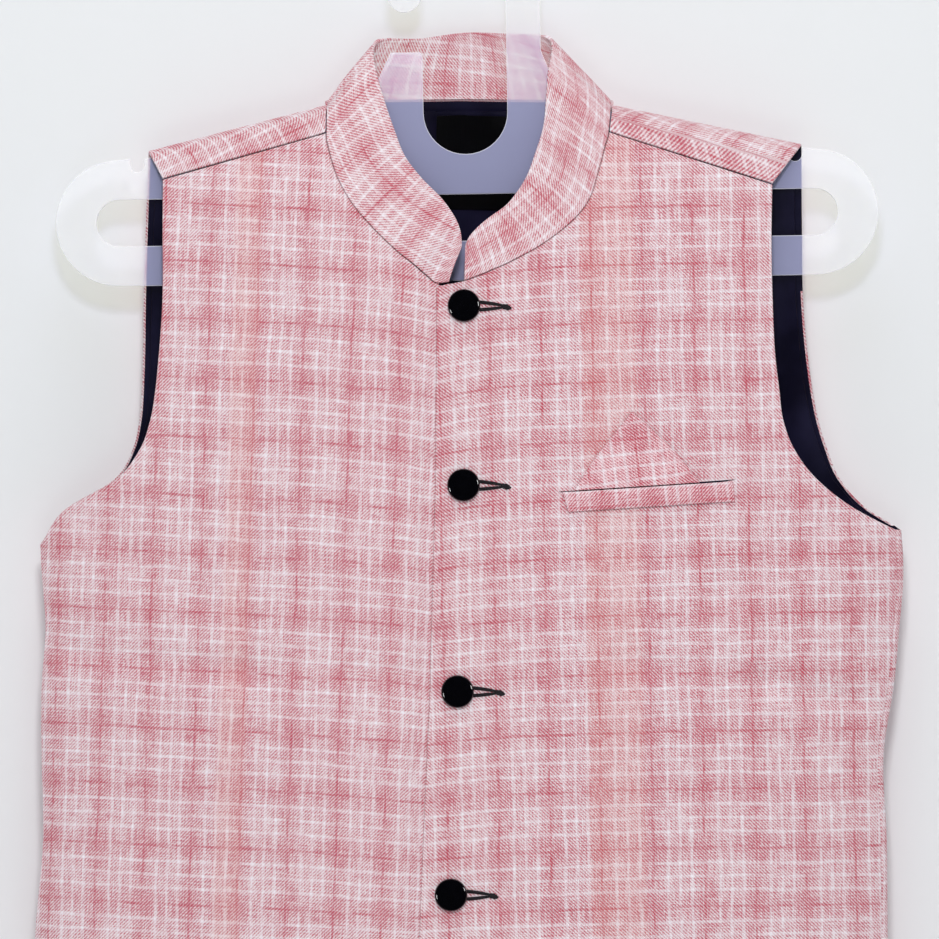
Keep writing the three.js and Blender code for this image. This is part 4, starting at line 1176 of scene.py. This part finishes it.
@dataclass
class Buttons:
    """Five glossy buttons and their worked buttonholes."""

    gloss: bpy.types.Material
    thread: bpy.types.Material
    profile: tuple[tuple[float, float], ...] = (
        (9.6, 0.7), (9.9, 1.8), (9.75, 2.5), (9.3, 3.2), (8.5, 3.8), (7.7, 4.0), (7.0, 3.8),
        (4.5, 4.2), (1.5, 4.5))  # radius and height of each ring
    foot_radius: float = 8.2
    slit_half: float = 13.5  # half length of a worked buttonhole
    slit_middle: float = 11.5  # its middle lies this far out from the button's
    slit_gape: float = 2.6  # half its width at the button
    cord: tuple[float, float] = (1.05, 0.7)  # half width and height of its worked lips
    tack_place: float = 25.4
    tack_size: tuple[float, float, float] = (3.1, 0.8, 1.7)  # half its length, height and width
    hole_lift: float = 0.55  # of the lips off the cloth
    tack_lift: float = 0.6

    def model(self) -> bpy.types.Object:
        """Models one button lying on the origin, its face up."""
        bpy.ops.object.select_all(action="DESELECT")
        bpy.ops.mesh.primitive_circle_add(
            vertices=48, radius=self.foot_radius * MM, fill_type="NGON")
        obj = bpy.context.active_object
        bpy.ops.object.mode_set(mode="EDIT")
        bpy.ops.mesh.select_all(action="SELECT")
        radius, height = self.foot_radius, 0.0
        for new_radius, new_height in self.profile:
            bpy.ops.mesh.extrude_region_move(
                TRANSFORM_OT_translate={"value": (0, 0, (new_height - height) * MM)})
            factor = new_radius / radius
            bpy.ops.transform.resize(value=(factor, factor, 1.0))
            radius, height = new_radius, new_height
        bpy.ops.mesh.select_all(action="SELECT")
        bpy.ops.mesh.normals_make_consistent(inside=False)
        bpy.ops.object.mode_set(mode="OBJECT")
        Workbench.apply(obj, "SUBSURF", levels=1, render_levels=1)
        return obj

    def hole(self, x: float, z: float, name: str) -> bpy.types.Object:
        """Models one buttonhole: two worked lips that meet at a bar tack."""
        bpy.ops.object.select_all(action="DESELECT")
        bpy.ops.mesh.primitive_torus_add(
            major_segments=120, minor_segments=8, major_radius=1.0, minor_radius=0.1)
        obj = bpy.context.active_object
        obj.name = name
        for vertex in obj.data.vertices:
            px, py, pz = vertex.co
            ring = math.hypot(px, py)
            cx, cy = px / ring, py / ring
            stitch = 1 + 0.22 * math.sin(60 * math.atan2(cy, cx))
            tube = ((ring - 1.0) * 10 * self.cord[0] * stitch, pz * 10 * self.cord[1] * stitch)
            along = self.slit_half * cx + self.slit_middle + tube[0] * cx
            taper = 1.0 - 0.62 * max(0.0, (along - 6.0) / 19.0)
            out = self.slit_gape * taper * cy + tube[0] * cy
            sag = -0.02 * along
            wx, wz = x + along, z + out + sag
            depth = float(front_y(np.array(wx), np.array(wz))) - self.hole_lift
            vertex.co = Vector((wx, depth - tube[1], wz)) * MM
        bpy.ops.object.select_all(action="DESELECT")
        bpy.ops.mesh.primitive_uv_sphere_add(segments=20, ring_count=12, radius=1.0)
        tack = bpy.context.active_object
        for vertex in tack.data.vertices:
            px, py, pz = vertex.co
            knot = 1 + 0.12 * math.sin(9 * px) * math.cos(7 * pz)
            wx = x + self.tack_place + self.tack_size[0] * px * knot
            wz = z - 0.9 - 0.6 * px + self.tack_size[2] * pz * knot
            depth = float(front_y(np.array(wx), np.array(wz))) - self.tack_lift
            vertex.co = Vector((wx, depth + self.tack_size[1] * py * knot, wz)) * MM
        Workbench.pick(obj)
        tack.select_set(True)
        bpy.ops.object.join()
        bpy.ops.object.mode_set(mode="EDIT")
        bpy.ops.mesh.select_all(action="SELECT")
        bpy.ops.mesh.normals_make_consistent(inside=False)
        bpy.ops.object.mode_set(mode="OBJECT")
        return obj

    def build(self) -> None:
        """Places the five buttons and buttonholes down the closure."""
        pattern = self.model()
        for i, z in enumerate(BUTTON_HEIGHTS, start=1):
            x = float(column_at(CLOSURE, 2, np.array(z)))
            y = float(front_y(np.array(x), np.array(z))) - LAY_GAP
            button = pattern.copy()
            button.data = pattern.data.copy()
            button.name = f"button_{i}_gloss"
            bpy.context.scene.collection.objects.link(button)
            Workbench.pick(button)
            button.rotation_euler = (math.pi / 2, 0, 0)
            button.location = (x * MM, y * MM, z * MM)
            bpy.ops.object.transform_apply(location=True, rotation=True, scale=True)
            Workbench.finish(button, "button_black", (f"button_{i}",), (self.gloss,), 80.0)
            hole = self.hole(x, z, f"buttonhole_{i}")
            Workbench.finish(hole, "button_black", (), (self.thread,), 80.0)
        bpy.data.objects.remove(pattern)


# ---------- stage ----------


@dataclass
class Studio:
    """Pale floor and wall, soft lights and the camera."""

    middle: tuple[float, float] = (4.2, -318.9)
    field_width: float = 563.4
    focus_y: float = -18.0
    distance: float = 5000.0

    def camera(self) -> None:
        """Adds the camera, level and square to the front."""
        bpy.ops.object.select_all(action="DESELECT")
        bpy.ops.object.camera_add(
            location=(self.middle[0] * MM, -self.distance * MM, self.middle[1] * MM),
            rotation=(math.pi / 2, 0, 0))
        camera = bpy.context.active_object
        camera.data.sensor_width = 36.0
        camera.data.lens = 36.0 * (self.distance + self.focus_y) / self.field_width
        camera.data.clip_end = 60.0
        bpy.context.scene.camera = camera

    def plane(self, name: str, size: float, location: tuple, turn: float, colour: str,
              one_sided: bool) -> None:
        """Adds the floor or the wall, with an eggshell paint."""
        bpy.ops.object.select_all(action="DESELECT")
        bpy.ops.mesh.primitive_plane_add(size=size, location=location, rotation=(turn, 0, 0))
        obj = bpy.context.active_object
        obj.name = name
        bpy.ops.object.transform_apply(location=True, rotation=True, scale=True)
        material, tree, surface = new_material(f"eggshell_paint_{name}")
        plug(tree, surface, {"Base Color": linear(colour), "Roughness": 0.9})
        if one_sided:
            back = add_node(tree, "NewGeometry").outputs["Backfacing"]
            clear = add_node(tree, "BsdfTransparent")
            both = add_node(tree, "MixShader", {0: back, 1: surface, 2: clear})
            plug(tree, tree.nodes["Material Output"], {0: both})
        obj.data.materials.append(material)
        obj.visible_glossy = False
        obj.visible_shadow = not one_sided  # the back light shines through the wall

    def light(self, name: str, location: tuple, aim: tuple, size: float, power: float,
              lights: bool = True, mirrored: bool = False) -> None:
        """Adds one soft area light.

        Args:
            name: Name of the light.
            location: Its place, in metres.
            aim: Point that it faces.
            size: Width of its square.
            power: Watts.
            lights: Whether it lights matt surfaces.
            mirrored: Whether gloss shows it.
        """
        data = bpy.data.lights.new(name, "AREA")
        data.size, data.energy = size, power
        lamp = bpy.data.objects.new(name, data)
        lamp.location = location
        lamp.visible_diffuse, lamp.visible_glossy = lights, mirrored
        lamp.rotation_euler = (Vector(aim) - Vector(location)).to_track_quat("-Z", "Y").to_euler()
        bpy.context.scene.collection.objects.link(lamp)

    def build(self) -> None:
        """Sets the whole stage."""
        scene = bpy.context.scene
        scene.view_settings.view_transform = "Standard"
        world = bpy.data.worlds.new("pale_room")
        scene.world = world
        world.use_nodes = True
        sky = world.node_tree.nodes["Background"]
        sky.inputs[0].default_value = linear("#e9ebec")
        sky.inputs[1].default_value = 0.48
        world.cycles_visibility.glossy = False
        self.camera()
        self.plane("floor", 12.0, (0, 0, -1.25), 0.0, "#e4e5e6", False)
        self.plane("wall", 6.0, (0, 0.036, -0.3), math.pi / 2, "#e7e9eb", True)
        self.light("key", (0.0, -2.6, 0.8), (0, 0, -0.3), 0.4, 34.0)
        self.light("top", (0.0, -1.0, 1.6), (0, 0, -0.3), 0.8, 9.0)
        self.light("fill", (0.0, -2.4, -1.1), (0, 0, -0.4), 0.8, 6.0)
        self.light("low_window", (-1.5, -0.95, -0.85), (0, 0, -0.35), 0.4, 10.0, False, True)
        self.light("high_window", (1.5, -0.75, 0.0), (0, 0, -0.35), 0.4, 10.0, False, True)
        self.light("back", (0.4, 2.4, 0.8), (0, 0, -0.4), 1.5, 22.0, True, True)


def main() -> None:
    """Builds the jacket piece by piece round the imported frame."""
    logging.basicConfig(level=logging.INFO, format="%(name)s %(message)s")
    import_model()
    left_twill = CheckTwill("check_twill_left", TwillLean.RISES_TO_LEFT, (-20.4, 14.0), 3.0)
    right_twill = CheckTwill("check_twill_right", TwillLean.RISES_TO_RIGHT, (-7.0, 6.0), 8.0)
    plain_twill = CheckTwill("check_twill_plain", TwillLean.RISES_TO_LEFT, seed=21.0)
    # a deeper, more saturated copy of the check: on the welt it is painted shade, and the square
    # takes the same deeper tone
    warm = {"pale": "#f0d4d9", "rose": "#bb5565"}
    welt_twill = CheckTwill("check_twill_welt", TwillLean.RISES_TO_RIGHT, seed=33.0, **warm)
    square_twill = CheckTwill("check_twill_square", TwillLean.RISES_TO_LEFT, seed=39.0, **warm)
    twills = (left_twill, right_twill, plain_twill, welt_twill, square_twill)
    left_cloth, right_cloth, plain_cloth, welt_cloth, square_cloth = (t.build() for t in twills)
    satin = Satin("lining_satin_black", "#0e0c1f", "#1d1b35", 0.5, 0.8).build()
    label = Satin("label_satin_black", "#060608", "#0b0b10", 0.55, 0.6).build()
    FrontPanel(Side.LEFT, left_cloth, satin).build()
    FrontPanel(Side.RIGHT, right_cloth, satin).build()
    BackPanel(plain_cloth, satin).build()
    Collar(plain_cloth).build()
    lining = BackLining(satin, label)
    lining.build_lining()
    lining.build_label()
    ChestPocket(square_cloth, welt_cloth, satin).build()
    Buttons(CastPolyester().build(), TwistedThread().build()).build()
    hanger = bpy.data.objects["hanger"]
    hanger.data.materials.clear()
    hanger.data.materials.append(FrostedPolypropylene().build())
    Studio().build()


if __name__ == "__main__":
    main()
